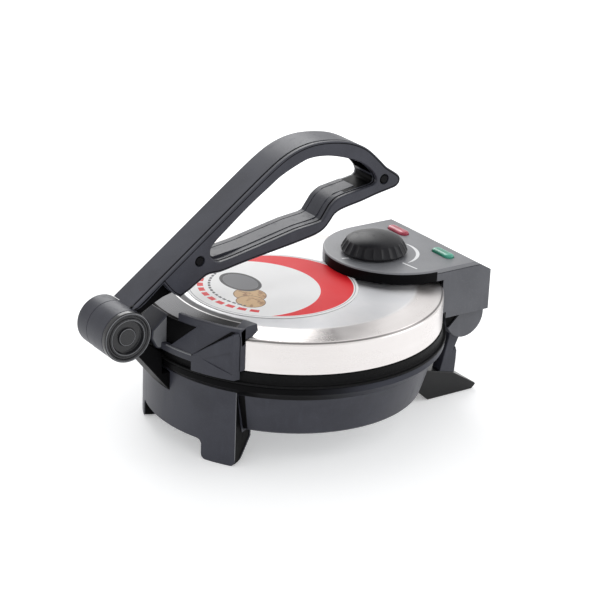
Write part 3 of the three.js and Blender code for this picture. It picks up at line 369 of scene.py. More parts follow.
def moulded_plastic(name, dark, light, polish, grain=1.0, lustre=0.5):
    """Injection moulded plastic: a spark-eroded skin, slow flow clouds, and fine handling marks"""
    finish = Finish(name, Specular_IOR_Level=lustre)
    clouds = finish.noise(26, 4)
    skin = finish.noise(3300, 2)
    specks = finish.ramp(finish.noise(1500, 1), 0.62, 0.74)
    rubbed = finish.ramp(finish.noise(150, 5, (1, 1, 0.12)), 0.56, 0.72)
    colour = finish.blend(finish.ramp(clouds, 0.3, 0.7), dark, light)
    colour = finish.blend(specks * 0.3, colour, tuple(min(1, 1.7 * c + 0.01) for c in light))
    colour = finish.blend(rubbed * 0.25, colour, tuple(1.35 * c for c in light))
    return finish.paint(
        Base_Color=colour,
        Roughness=polish + 0.12 * clouds + 0.1 * rubbed + 0.1 * (skin - 0.5),
        Normal=finish.bump(skin + 0.4 * clouds, 0.00003 * grain, 0.6),
    )


slate_dark, slate_light = (0.032, 0.033, 0.044), (0.047, 0.049, 0.063)
slate_plastic = moulded_plastic("slate_plastic", slate_dark, slate_light, 0.34, lustre=0.3)
jet_dark, jet_light = (0.0020, 0.0020, 0.0022), (0.0040, 0.0040, 0.0045)
jet_plastic = moulded_plastic("jet_plastic", jet_dark, jet_light, 0.36, 0.6, 0.05)

wall_foot = 27.4
wall_lean, inner_lean = 0.2958, 0.273
leg_turn = 28.6
hinge_line = (133, 71)


def wall_outer(height):
    return 103.8 + (height - wall_foot) * wall_lean


def wall_inner(height):
    return 101.2 + (height - wall_foot) * inner_lean


def bracket_notch():
    return slab("notch", [(-16.3, 44.1), (8.3, 44.1), (8.3, 59.5), (-16.3, 59.5)], -125, -95.8, "Y")


def base_wall():
    profile = rounded([
        (101.2, 26, 0.3), (102.4, 26, 0.6), (103.8, 27.4, 0.9), (113, 58.5, 1.1), (120, 65.7, 0.9),
        (120, 70.2, 0.9), (116.5, 70.2, 0.5), (110.4, 61.1, 1.0), (101.2, 27.4, 0.3),
    ], 0.5)
    return cut(turned("wall", profile, steps=192), bracket_notch())


def front_skirt():
    profile = [(113, -0.2), (115.6, -0.2), (115.6, 60.9), (115.1, 61.4), (113, 61.4)]
    skirt = swept("skirt", profile, -leg_turn, 2 * leg_turn, 64)
    arch = rounded([
        (-45.8, -5, 0), (45.8, -5, 0), (42.8, 10, 3), (40.8, 15.5, 5), (-40.8, 15.5, 5), (-42.8, 10, 3),
    ], 4)
    return eased(cut(skirt, slab("arch", arch, -130, -90, "Y"), bracket_notch()), 0.6)


leg_profile = [
    (-124, 0, 0), (-107.6, 0, 2.5), (-90, 16, 1.5), (-90, 25.7, 0.8), (-102.1, 25.7, 0),
    (-102.1, 26.4, 0), (-111.7, 61.3, 0), (-124, 61.3, 0),
]
leg_recess = rounded([
    (-113.9, 1.4), (-108.2, 1.4), (-92, 16.6), (-92, 24.2), (-104.2, 24.2), (-112.4, 59.2), (-113.9, 59.2),
], 0.4)


def leg(side):
    wedge = bar("leg", rounded(leg_profile, 0), -14.5, 14.5, 0.5)
    front = rounded([(-14.5, -0.2, 5), (14.5, -0.2, 5), (14.5, 70, 0), (-14.5, 70, 0)], 0, 6)
    wedge = combined(wedge, slab("front", front, -130, -80, "Y"), "INTERSECT")
    cut(wedge, *[slab("recess", leg_recess, low, low + 2.7, "X") for low in (-16, 13.3)])
    round_face = disc("round", 115.64, 0, 61.3, 240)
    return eased(combined(spun(wedge, side * leg_turn), round_face, "INTERSECT"), 0.7)


def leg_recess_shade():
    """Painted shade in near-black plastic: a sheet between the thin outer walls of both legs, for the dark
    inside of each hollow leg, and a strip on the wall beside each leg, for the shadow there
    """
    wall_shadow_strip = [(wall_outer(z) + past, z) for past, z in ((-0.6, 27.6), (0.15, 27.6), (0.15, 58), (-0.6, 58))]
    shade_sheets = []
    for side in (-1, 1):
        recess_shade = moulded("recess_shade", [leg_recess], [(0.02, -13.9), (0.02, 13.9)], "X")
        shade_sheets.append(spun(recess_shade, side * leg_turn))
        shade_sheets.append(swept("wall_shadow_strip", wall_shadow_strip, 35.4 if side > 0 else -38.6, 3.2, 6))
    return gathered("leg_painted_shade", *shade_sheets)


def leg_edge_highlights():
    """A painted highlight: a light grey line down the outer edge of both legs"""
    edges = []
    for side in (-1, 1):
        edge = moulded("edge", [[(-114.75, 5), (-114.05, 5), (-114.05, 60.4), (-114.75, 60.4)]],
                       [(0.1, 13.9), (0, 14.1), (0, 14.45), (0.15, 14.6)], "X")
        if side < 0:
            edge.data.transform(Matrix.Scale(-1, 4, (1, 0, 0)))
            edge.data.flip_normals()
        edges.append(spun(edge, side * leg_turn))
    return gathered("leg_edge_highlights", *edges)


def rear_foot():
    outer = rounded([
        (88, 26.2, 0), (88, 16, 1.5), (106, 0, 2), (151, 0, 1.5), (155.5, 4, 1.6), (130, 19.5, 3),
        (103.8, 26.2, 0),
    ], 1)
    hollow = rounded([
        (91, 16), (106, -5), (148, -5), (148, 4), (127, 16.5), (100.8, 23.2), (91, 23.2),
    ], 1)
    foot = bar("foot", outer, -44.5, 44.5, 1.0)
    return cut(foot, slab("room", hollow, -41.5, 41.5, "X"), disc("cover_room", 101.2, 25.7, 32))


def hinge_post(side):
    shank = rounded([(112, 4, 1), (131, 4, 1), (135, 52, 8)], 1)
    neck = rounded([(124.5, 52, 8), (112, 4, 1), (121.4, 71, 0)], 0)[:5]
    outline = shank + arc_of(hinge_line, 11.6, range(0, 181, 9)) + neck
    from_x = 33 if side > 0 else -43.5
    return bar("post", outline, from_x, from_x + 10.5, 0.8)


boss = rounded([(2.05, 28), (5.2, 28), (5.2, 43.5), (2.05, 43.5)], 0.3)
base = gathered(
    "base_moulding", base_wall(), front_skirt(), leg(-1), leg(1), hinge_post(-1), hinge_post(1),
    *[turned("boss", boss, 32, spot) for spot in arc_of((0, 0), 95, (-38, 38, 142, 218))],
)
fitted(base, "base", "shell_plastic", slate_plastic, "base_shell")
# Painted shade: near-black sheets in the legs' side recesses and strips on the wall beside the legs
fitted(leg_recess_shade(), "base", "dark_plastic", jet_plastic)
# A light grey plastic that paints highlights: on the legs' outer edges, the cap's rings, the ramp's near face
# and the shelf's lips
highlight_plastic = moulded_plastic("highlight_plastic", (0.15, 0.153, 0.165), (0.20, 0.203, 0.215), 0.24, 0.4)
fitted(leg_edge_highlights(), "base", "shell_plastic", highlight_plastic)
foot_plastic = moulded_plastic("foot_plastic", (0.003, 0.003, 0.0035), (0.007, 0.007, 0.008), 0.24, 1.0, 0.3)
fitted(rear_foot(), "base", "dark_plastic", foot_plastic)


def flange_shade_plastic():
    """The flange band's plastic: painted shade and dark reflection, nearly black at the front under the lid,
    turning to the slate colour towards the back
    """
    finish = Finish("flange_shade_plastic", Specular_IOR_Level=0.05)
    x, y = finish.split(finish.from_point(AXIS_Y), "XY")
    cloud = finish.noise(26, 4)
    turn = abs(finish.maths("ARCTAN2", x, 0 - y)) + 0.2 * cloud
    lit_share = finish.ramp(turn, 1.15, 1.75)
    skin = finish.noise(3300, 2)
    return finish.paint(
        Base_Color=finish.blend(lit_share, (0.0026, 0.0026, 0.0030), (0.047, 0.049, 0.061)),
        Roughness=0.32 + 0.12 * cloud,
        Normal=finish.bump(skin, 0.00002, 0.6),
    )


# A thin band laid over the flange, which carries the painted shade and dark reflection at its front
flange_shade_band = turned("flange_shade_band", rounded([
    (112.6, 59.2), (113.2, 58.3), (120.25, 65.5, 1.1), (120.3, 70.0, 0.6), (119.6, 70.35, 0.2), (119.2, 69.8),
    (119.2, 66.4),
], 0.3), steps=192)
fitted(flange_shade_band, "base", "dark_plastic", flange_shade_plastic())

# Bottom cover, shields, elements and wiring pieces
# Pressed and punched steel sheet closes the base and shades both heaters; the elements are steel
# tubes, the terminal block and the thermostat brown phenolic. They keep their engineering shapes.


def sheet_steel(name, colour, rough, spread=1.25):
    finish = Finish(name, Metallic=1.0)
    grain = finish.noise(900, 3, (1, 0.05, 1))
    stain = finish.ramp(finish.noise(45, 5), 0.45, 0.75)
    lit = tuple(min(1, spread * c) for c in colour)
    return finish.paint(
        Base_Color=finish.blend(grain * 0.6 + stain * 0.3, colour, lit),
        Roughness=rough + 0.18 * stain + 0.12 * grain,
        Normal=finish.bump(grain, 0.00002, 0.5),
    )


galvanised = sheet_steel("galvanised_sheet", (0.36, 0.37, 0.38), 0.34)
heater_steel = sheet_steel("heater_steel", (0.17, 0.165, 0.16), 0.42)
plated_steel = sheet_steel("plated_steel", (0.46, 0.46, 0.47), 0.26)
black_steel = sheet_steel("black_steel", (0.012, 0.012, 0.013), 0.45)


def brown_phenolic():
    finish = Finish("brown_phenolic", Specular_IOR_Level=0.45)
    fibre = finish.noise(520, 5, (1, 0.3, 1))
    return finish.paint(
        Base_Color=finish.blend(fibre, (0.035, 0.018, 0.010), (0.085, 0.048, 0.028)),
        Roughness=0.42 + 0.2 * fibre,
        Normal=finish.bump(fibre, 0.00005),
    )


def numbered(stem, count):
    return [f"{stem}_{number + 1}" for number in range(count)]


carried = {
    galvanised: ["bottom_cover", "lower_shield", "lid_shield"],
    heater_steel: ["lower_element", "upper_element"],
    brown_phenolic(): ["terminal_block", "thermostat"],
    plated_steel: [
        "hinge_pin", "pivot_pin", "thermostat_spindle", *numbered("cover_screw", 4),
        *numbered("bracket_screw", 2), *numbered("grip_screw", 2), *numbered("panel_stud", 2),
        *numbered("lower_spacer", 3), *numbered("lid_spacer", 3),
    ],
    black_steel: numbered("lever_screw", 2),
}
for material, names in carried.items():
    for name in names:
        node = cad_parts[name]
        node.data.materials.clear()
        node.data.materials.append(material)

# Lower and upper plates
# Cast aluminium plates with a baked non-stick coating, nearly black and finely pebbled. The lower
# one sits in the flange on a thin lip, and its rim stands up as the black band below the lid.


def baked_coating():
    finish = Finish("baked_coating", Specular_IOR_Level=0.07)
    pebbles = finish.noise(1250, 2)
    sparkle = finish.ramp(finish.noise(2600, 0), 0.66, 0.76)
    haze = finish.noise(60, 4)
    colour = finish.blend(haze, (0.0040, 0.0040, 0.0042), (0.0085, 0.0086, 0.0090))
    return finish.paint(
        Base_Color=finish.blend(sparkle * 0.5, colour, (0.035, 0.036, 0.038)),
        Roughness=0.42 + 0.2 * pebbles,
        Normal=finish.bump(pebbles + 0.5 * sparkle, 0.00012),
    )


coating = baked_coating()
lower_plate = turned("lower_cooking_plate", rounded([
    (0, 73.5, 0), (113, 73.5, 0.5), (114.8, 70.6, 0.4), (121, 70.6, 0.5), (121, 72.4, 0.7),
    (118.7, 72.4, 0.4), (118.3, 73.4, 0.4), (118.3, 80, 1.0), (0, 80, 0),
], 0.4), steps=192)
fitted(lower_plate, "base", "coated_plate", coating, "lower_plate")
upper_plate = turned("upper_cooking_plate", rounded([
    (0, 80.4, 0), (113.2, 80.4, 0.6), (113.2, 88, 0.4), (110.8, 88, 0.4), (110, 85.4, 0.8), (0, 85.4, 0),
], 0.4), steps=192)
fitted(upper_plate, "lid", "coated_plate", coating, "upper_plate")

# Cord gland
# A soft black rubber bush pushed through the rear of the wall, its outside ribbed so that it
# grips. The supply cord itself isn't part of this object.


def black_rubber():
    finish = Finish("black_rubber", Specular_IOR_Level=0.3)
    bloom = finish.noise(300, 5)
    return finish.paint(
        Base_Color=finish.blend(bloom, (0.010, 0.010, 0.010), (0.030, 0.030, 0.030)),
        Roughness=0.62 + 0.25 * bloom,
        Normal=finish.bump(bloom, 0.00006),
    )


gland = turned("cord_bush", rounded([
    (3.6, -8), (6, -8), (6, 0.3), (8.6, 0.3), (8.6, 1.8), (7.4, 2.4), (6.5, 2.4, 0.2), (6.5, 3.2),
    (7.0, 3.5), (7.0, 4.2), (6.1, 4.5, 0.2), (6.1, 5.0), (6.4, 5.3), (6.2, 6), (3.6, 6),
], 0.25), steps=48)
gland.data.transform(
    Matrix.Rotation(math.radians(150), 4, "Z") @ Matrix.Translation((wall_outer(43), 0, 43))
    @ Matrix.Rotation(math.radians(90) + math.atan(wall_lean), 4, "Y")
)
fitted(gland, "base", "rubber", black_rubber(), "cord_gland")

# Lever bracket
# A black moulding screwed inside the front wall. Its arm comes out through a notch in the skirt,
# climbs under the grip, and ends in the far hub of the lever's pivot.

pivot = (-159.0, 101.0)


def lever_bracket():
    root = [(-155.9, 104.7), (-164.1, 95), (-141.8, 76.8)]
    arm_line = rounded(root + [
        (-115.4, 44.4), (-104.4, 44.4), (-104.4, 59.2), (-121.7, 59.2), (-121.7, 76.4), (-128.3, 81.7),
    ], 0.8)
    hub_line = rounded(root + [(-121.7, 59.2), (-121.7, 76.4), (-128.3, 81.7)], 0.8)
    arm = bar("arm", arm_line, -16, 8, 0.8)
    side_arm = bar("side_arm", hub_line, -21.7, -15.5, 0.8)
    arm = eased(cut(arm, disc("room", 20.3, -6.3, 14, 96, pivot, "X")), 0.5)
    hub = rounded([(0, -21.7, 0), (19.35, -21.7, 1.8), (19.35, -6.3, 0.5), (0, -6.3, 0)], 0.5)
    hub = turned("hub", hub, 128, pivot, "X")
    flange = [(wall_inner(z) - under, z) for under, z in ((3.4, 41), (0.4, 41), (0.4, 61), (3.4, 61))]
    plate = swept("plate", flange, -15, 26, 24)
    return gathered("pivot_bracket", arm, side_arm, plate), hub


bracket, far_hub = lever_bracket()
fitted(bracket, "base", "dark_plastic", jet_plastic, "lever_bracket")
fitted(far_hub, "base", "dark_plastic", slate_plastic)

# Lever
# A deep slate grey moulding with a long loop for the hand, closed on its near side by a flat
# cover held with two sunk screws. It turns on the pivot and presses the lid's ramp with its root.


lever_length, lever_height = 246, 124


def on_lever(shares):
    return [(pivot[0] + lever_length * y, pivot[1] + lever_height * z) for y, z in shares]


def flowing(points, steps=5, corner=52):
    """A smooth closed line through the points, which keeps its sharp corners"""
    spots = [Vector(p) for p in points]
    count = len(spots)
    slopes = []
    for i, here in enumerate(spots):
        before, after = here - spots[i - 1], spots[(i + 1) % count] - here
        sharp = before.angle(after) > math.radians(corner)
        slopes.append(None if sharp else (before + after) / (before.length + after.length))
    out = []
    for i in range(count):
        a, b = spots[i], spots[(i + 1) % count]
        span = b - a
        ends = slopes[i], slopes[(i + 1) % count]
        m0, m1 = (span if slope is None else slope * span.length for slope in ends)
        for k in range(steps):
            t = k / steps
            spot = (a * (2 * t ** 3 - 3 * t ** 2 + 1) + m0 * (t ** 3 - 2 * t ** 2 + t)
                    + b * (3 * t ** 2 - 2 * t ** 3) + m1 * (t ** 3 - t ** 2))
            out.append((spot.x, spot.y))
    return out


lever_line = flowing(on_lever([
    (0.02, 0.13), (0.122, 0.283), (0.316, 0.574), (0.467, 0.8), (0.512, 0.864), (0.546, 0.908),
    (0.58, 0.943), (0.62, 0.97), (0.66, 0.984), (0.7, 0.986), (0.75, 0.976), (0.8, 0.955),
    (0.849, 0.915), (0.881, 0.872), (0.924, 0.793), (0.945, 0.752), (0.975, 0.712), (0.993, 0.685),
    (1, 0.66), (0.997, 0.63), (0.985, 0.611), (0.97, 0.603), (0.911, 0.581), (0.852, 0.554),
    (0.778, 0.526), (0.752, 0.502), (0.736, 0.464), (0.719, 0.427), (0.698, 0.402), (0.66, 0.382),
    (0.586, 0.356), (0.476, 0.323), (0.398, 0.297), (0.335, 0.274), (0.29, 0.272), (0.262, 0.243),
    (0.226, 0.199), (0.193, 0.166), (0.171, 0.196), (0.152, 0.236), (0.136, 0.276), (0.06, 0.155),
]))
loop_shares = [
    (0.608, 0.87), (0.546, 0.815), (0.508, 0.765), (0.431, 0.659), (0.355, 0.54), (0.31, 0.466),
    (0.298, 0.43), (0.3, 0.386), (0.315, 0.352), (0.339, 0.338), (0.436, 0.373), (0.554, 0.423),
    (0.618, 0.449), (0.691, 0.466), (0.707, 0.476), (0.724, 0.522), (0.742, 0.569), (0.772, 0.606),
    (0.896, 0.646), (0.907, 0.66), (0.908, 0.685), (0.895, 0.73), (0.865, 0.784), (0.824, 0.829),
    (0.765, 0.87), (0.707, 0.894), (0.649, 0.895),
]
loop_line = flowing(on_lever(loop_shares))
lever_screws = on_lever([(0.26, 0.37), (0.937, 0.674)])
upper_pocket = rounded(on_lever([
    (0.86, 0.712), (0.93, 0.712), (0.928, 0.742), (0.909, 0.777), (0.868, 0.85), (0.838, 0.886),
    (0.8, 0.9), (0.79, 0.85), (0.83, 0.79),
]), 0.4)
lower_pocket = rounded(on_lever([
    (0.83, 0.69), (0.916, 0.69), (0.916, 0.645), (0.9, 0.625), (0.85, 0.604), (0.81, 0.6), (0.8, 0.625),
]), 0.4)


def hub_room(low=-22, high=-6):
    return disc("hub_room", 20.3, low, high, 96, pivot, "X")


def lever_moulding():
    body = moulded("body", [lever_line, loop_line], [
        (1.0, -15.5), (0.6, -15.4), (0.25, -15.05), (0, -14.3), (0, 10.2), (0.15, 10.4),
    ], "X")
    for pocket in (upper_pocket, lower_pocket):
        cut(body, slab("pocket", pocket, -12.5, 9, "X"), folded=True)
    cut(body, hub_room(), folded=True)
    barrel = rounded([(4.3, -6), (19.5, -6, 0.7), (19.5, 16.9, 0.7), (4.3, 16.9)], 0.3)
    parts = [body, turned("barrel", barrel, 128, pivot, "X")]
    strip_line = on_lever([
        (0.33, 0.345), (0.436, 0.373), (0.554, 0.423), (0.618, 0.449), (0.691, 0.466), (0.707, 0.476),
        (0.724, 0.522), (0.742, 0.569), (0.772, 0.606), (0.85, 0.632),
    ])
    upper = [(y - 0.2, z + 0.5) for y, z in strip_line]
    lower = [(y + 0.5, z - 1.5) for y, z in reversed(strip_line)]
    for low, high in ((-14.4, -9.2), (-8.6, 5.5)):
        parts.append(bar("strip", upper + lower, low, high, 0.25))
    return gathered("lever_moulding", *parts)


fitted(lever_moulding(), "lever", "shell_plastic", slate_plastic, "lever_body")


def lever_shade_core():
    """Painted shade in near-black plastic: the root's core, dark under the arm, and the linings of both
    chambers in the nose, dark inside
    """
    core_line = flowing(on_lever([
        (0.055, 0.05), (0.085, 0.09), (0.15, 0.155), (0.193, 0.18), (0.25, 0.25), (0.27, 0.35),
        (0.136, 0.29), (0.05, 0.16),
    ]), 3)
    core = bar("core", core_line, -6, 7, 0.8)
    side_core = bar("side_core", core_line, -11, -5, 0.8)
    parts = [core, cut(side_core, hub_room())]
    for pocket in (upper_pocket, lower_pocket):
        shade_lining = moulded("shade_lining", [pocket], [(-0.3, -12.7), (-0.3, 9.2)], "X")
        room = moulded("room", [pocket], [(0.35, -12.1), (0.35, 8.6)], "X")
        loop = moulded("loop", [loop_line], [(0.1, -20), (0.1, 20)], "X")
        parts.append(cut(shade_lining, room, loop))
    return gathered("lever_shade_core", *parts)


fitted(lever_shade_core(), "lever", "dark_plastic", jet_plastic)


def ring_of(name, line, near, far, low, high):
    """A flat strip along a closed line, between two distances to its left"""
    rows = [(near, low), (near, high), (far, high), (far, low)]
    rings = [[(h, y, z) for y, z in inset(line, d)] for d, h in rows]
    return piece_from(name, [p for ring in rings for p in ring], walls(len(rings), len(line), True))


def lever_seals_and_shade_line():
    """The black seals in the joint below the cover, and a black line inlaid round its face, which paints the
    shade along its near edge
    """
    outer = lever_line if area_of(lever_line) > 0 else lever_line[::-1]
    hole = loop_line if area_of(loop_line) < 0 else loop_line[::-1]
    rim = ring_of("rim", outer, 0.35, 2.5, 10.4, 12)
    within = ring_of("within", hole, 0.35, 2, 10.4, 12)
    # Painted shade: a black line round the cover's face
    line = ring_of("line", outer, 1.1, 1.8, 15.2, 15.53)
    for part in (rim, line):
        cut(part, hub_room(5, 20), folded=True)
    return gathered("lever_seals_and_shade_line", rim, line, within)


fitted(lever_seals_and_shade_line(), "lever", "dark_plastic", jet_plastic)


def lever_cover():
    edge = [(0.2, 12.0), (0, 12.3), (0, 14.8), (0.12, 15.15), (0.35, 15.4), (0.7, 15.5)]
    fillet = [(0.2, 12.0), (0, 12.3), (0, 14.3), (0.08, 14.75), (0.3, 15.15), (0.65, 15.4), (1.1, 15.5)]
    cover = moulded("lever_side_cover", [lever_line, loop_line], [edge, fillet], "X")
    cut(cover, disc("room", 19.8, 10, 18, 96, pivot, "X"), folded=True)
    for spot in lever_screws:
        recess = turned("recess", [(0, 13.1), (4.1, 13.1), (4.3, 15.4), (4.8, 18), (0, 18)], 48, spot, "X")
        cut(cover, recess, disc("hole", 2.05, 10, 14, 32, spot, "X"), folded=True)
    return cover


fitted(lever_cover(), "lever", "shell_plastic", slate_plastic, "lever_cover")

# Pivot cap
# A glossy black cap pressed over the near end of the pivot: a raised outer ring, a fine groove,
# and a sunk ring round a low button.

gloss_dark, gloss_light = (0.010, 0.0102, 0.012), (0.017, 0.0175, 0.020)
gloss_plastic = moulded_plastic("gloss_plastic", gloss_dark, gloss_light, 0.14, 0.4)
cap = turned("pivot_end_cap", rounded([
    (0, 17.2, 0), (19.5, 17.2, 0.4), (19.5, 21.7, 1.6), (17.2, 21.7, 0.25), (16.5, 20.6, 0.3),
    (15.4, 20.6, 0.3), (14.7, 21.7, 0.3), (13.0, 21.7, 0.35), (12.3, 18.6, 0.5), (7.2, 18.6, 0.5),
    (6.9, 20.5, 0.5), (0, 20.5, 0),
], 0.4), 128, pivot, "X")
fitted(cap, "lever", "shell_plastic", gloss_plastic, "pivot_cap")
# Painted highlights: three thin light grey rings on the cap's ring edges
ring_sizes = ((18.2, 18.8, 21.2, 21.78), (13.3, 13.8, 21.0, 21.74), (6.2, 6.6, 20.0, 20.6))
cap_ring_highlights = gathered("cap_ring_highlights", *[
    turned("ring", rounded([(inner, low), (outer, low), (outer, high), (inner, high)], 0.2), 128, pivot, "X")
    for inner, outer, low, high in ring_sizes
])
fitted(cap_ring_highlights, "lever", "shell_plastic", highlight_plastic)

# Lid pan
# Stainless sheet spun into a shallow pan: an upright side, a small rolled step at the shoulder, a
# gentle bevel and a flat top, with fine turning marks and a soft satin reflection.


def spun_stainless():
    finish = Finish("spun_stainless", Metallic=1.0)
    x, y, z = finish.split(finish.from_point(AXIS_Y), "XYZ")
    radius = finish.maths("SQRT", x * x + y * y)
    ring = finish.node("ShaderNodeCombineXYZ", None, {0: radius, 1: z, 2: (x + y) * 0.01})
    turning = finish.noise(3800, 2, vector=ring)
    bands = finish.noise(210, 3, vector=ring)
    smudge = finish.ramp(finish.noise(24, 5), 0.35, 0.75)
    prints = finish.ramp(finish.noise(95, 6, (1, 0.55, 1)), 0.60, 0.74)
    colour = finish.blend(0.5 * smudge + 0.5 * bands, (0.71, 0.675, 0.66), (0.79, 0.76, 0.75))
    colour = finish.blend(prints * 0.25, colour, (0.62, 0.605, 0.605))
    crease, shoulder = 0.0962, 0.1159
    # Painted shade: the flat top gets a darker, rougher copy of the steel, for the dimmer reflection it shows
    flat = finish.ramp(radius, 0.0935, 0.0985, 1.0, 0.0)
    colour = finish.blend(flat, colour, finish.blend(smudge, (0.52, 0.525, 0.54), (0.62, 0.615, 0.62)))
    # Painted shade: a dark line along the rolled step at the shoulder
    step_shade = finish.ramp(abs(radius - shoulder), 0.0002, 0.0007, 1.0, 0.0) * (z > 0.104)
    # Painted highlight: a lighter line along the crease at the bevel's inner edge, inside the painted
    # reflection below
    edge = finish.ramp(abs(radius - crease), 0.0003, 0.0008, 1.0, 0.0)
    # Painted reflection: the front of the bevel is nearly black, for the dark lever and grip it mirrors
    front = finish.ramp(abs(finish.maths("ARCTAN2", x, 0 - y)), 0.55, 0.64, 1.0, 0.0)
    dark_reflection = front * finish.ramp(radius + 0.002 * smudge, 0.0885, 0.091) * (1 - 0.5 * edge)
    colour = finish.blend(dark_reflection, colour, (0.012, 0.012, 0.014))
    return finish.paint(
        Base_Color=finish.blend(step_shade * 0.8, colour, (0.07, 0.065, 0.065)),
        Roughness=0.24 + 0.09 * smudge + 0.06 * prints + 0.05 * turning + 0.16 * flat,
        Normal=finish.bump(turning + 0.5 * bands, 0.000012, 0.7),
    )


pan = turned("lid_pan_spun", rounded([
    (0, 108.2, 0), (96.2, 108.2, 14), (115.1, 105.75, 0.5), (115.8, 105.0, 0.35), (116.2, 104.35, 0.35),
    (117.0, 104.15, 0.5), (117.5, 103.4, 0.6), (117.5, 80.6, 0.25), (116.7, 80.6, 0.25), (116.7, 103.2, 0.8),
    (114.8, 104.9, 0.6), (95.8, 107.4, 12), (0, 107.4, 0),
], 0.4, 6), steps=256)
fitted(pan, "lid", "steel", spun_stainless(), "lid_pan")

# Control head
# A D-shaped housing with two cheeks that run down to the hinge, closed by a panel whose top edge
# is rounded all round. Grey plastic, a little lighter than the base, with a printed dial mark.

head_dark, head_light = (0.082, 0.084, 0.095), (0.106, 0.109, 0.122)
head_plastic = moulded_plastic("head_plastic", head_dark, head_light, 0.34, lustre=0.4)
# Painted reflection: the panel gets a lighter copy of the head's plastic, for the sky it mirrors on its top
panel_sheen_dark, panel_sheen_light = (0.165, 0.168, 0.180), (0.205, 0.208, 0.222)
panel_sheen_plastic = moulded_plastic("panel_sheen_plastic", panel_sheen_dark, panel_sheen_light, 0.30, lustre=0.45)
nose_centre = (0, 97)
panel_top = 118.2
knob_spot = (0, 77)
lamp_x = 29.7


def head_line(shrink=0.0, rear=151.0):
    half = 57 - shrink
    return [(half, rear), (-half, rear)] + arc_of(nose_centre, half, range(180, 361, 3))


def above_bevel(deeper=0.0):
    """All that lies above the sloping rear of the head, which falls 8.8 mm in 15.5 mm"""
    crease, slope = 135.5, 8.8 / 15.5
    front, rear = 123.5, 175
    low, high = (panel_top + (crease - y) * slope - deeper for y in (rear, front))
    return slab("above_bevel", [(front, high), (rear, low), (rear, 150), (front, 150)], -70, 70, "X")


def drum(radius, low, high):
    return disc("drum", radius, low, high, 192)


def nose_band(outer, low, high):
    """A strip of the head's round front, from its near side to beyond the middle"""
    turns = range(250, 361, 2)
    line = arc_of(nose_centre, outer, turns) + arc_of(nose_centre, 56.1, reversed(turns))
    return slab("nose_band", line, low, high)


cheek_notch = [(112, 75.8), (126.4, 75.8), (126.4, 72.2), (117.2, 63.6), (112, 63.6)]


def head_housing():
    block = moulded("block", [head_line()], [
        (0.6, 75.5), (0.15, 75.7), (0, 76.2), (0, 114.6), (0.15, 114.95), (0.5, 115.1),
    ])
    hollow = slab("hollow", head_line(3, 148), 70, 113.6)
    cut(hollow, drum(121.3, 60, 110.4), drum(125.3, 60, 83.8), above_bevel(4.3))
    cut(block, hollow, above_bevel(), drum(118.3, 60, 108.9), drum(122.3, 60, 80.8), nose_band(60, 100, 116))
    parts = [eased(block, 0.35, segments=2)]
    for side in (-1, 1):
        eye = [(4.3, 44), (18.6, 44, 0.8), (18.6, 51, 0.8), (0, 51, 0), (0, 50.8, 0), (4.3, 50.8)]
        eye = rounded([(r, side * x, *rest) for r, x, *rest in eye], 0.2)
        eye = turned("cheek", eye, 96, hinge_line, "X")
        parts.append(cut(eye, slab("notch", cheek_notch, side * 49.2, side * 53, "X")))
        gusset = [(114.4, 75.5), (149.5, 75.5), (149.5, 90), (114.4, 90)]
        from_x = 44 if side > 0 else -55.5
        gusset = bar("gusset", gusset, from_x, from_x + 11.5, 0.3)
        parts.append(cut(gusset, drum(122.3, 60, 80.8), drum(118.3, 60, 108.9)))
    return gathered("head_housing_moulding", *parts)


fitted(head_housing(), "lid", "head_plastic", head_plastic, "head_housing")


def lamp_line(x, grown=0.0):
    radius, half, y = 4.2 + grown, 7.3, 123.3
    right = arc_of((x + half, y), radius, range(-90, 91, 10))
    return right + arc_of((x - half, y), radius, range(90, 271, 10))


def head_panel():
    outer = [
        (0.4, 115.4), (0.1, 115.5), (0, 115.8), (0, 116.6), (0.15, 117.3), (0.55, 117.85), (1.1, 118.12),
        (1.7, panel_top),
    ]
    hole = [(0.2, 115.4), (0, 115.6), (0, 117.9), (0.12, 118.12), (0.4, panel_top)]
    holes = [lamp_line(-lamp_x, 0.3), lamp_line(lamp_x, 0.3)]
    panel = moulded("head_top_panel", [head_line(), *holes], [outer, hole, hole])
    return eased(cut(panel, above_bevel(), nose_band(60, 110, 117.0)), 0.3, segments=2)


fitted(head_panel(), "lid", "head_plastic", panel_sheen_plastic, "head_panel")
# Painted shade and dark reflection: a near-black band round the head's round front, below the panel
fitted(nose_band(56.95, 109.0, 116.95), "lid", "dark_plastic", jet_plastic)
# Painted shade: near-black linings in the cheeks' notches, for the dark opening there
notch_shades = []
for side in (-1, 1):
    notch = slab("notch", cheek_notch, side * 48.8, side * 49.6, "X")
    eye = disc("eye", 18.3, side * 48, side * 52, 96, hinge_line, "X")
    notch_shades.append(combined(notch, eye, "INTERSECT"))
fitted(gathered("cheek_notch_shades", *notch_shades), "lid", "dark_plastic", jet_plastic)


def white_ink():
    finish = Finish("white_ink", Specular_IOR_Level=0.4)
    patchy = finish.noise(700, 3)
    return finish.paint(
        Base_Color=finish.blend(patchy, (0.74, 0.74, 0.75), (0.86, 0.86, 0.87)),
        Roughness=0.42 + 0.1 * patchy,
        Normal=finish.bump(patchy, 0.00001),
    )


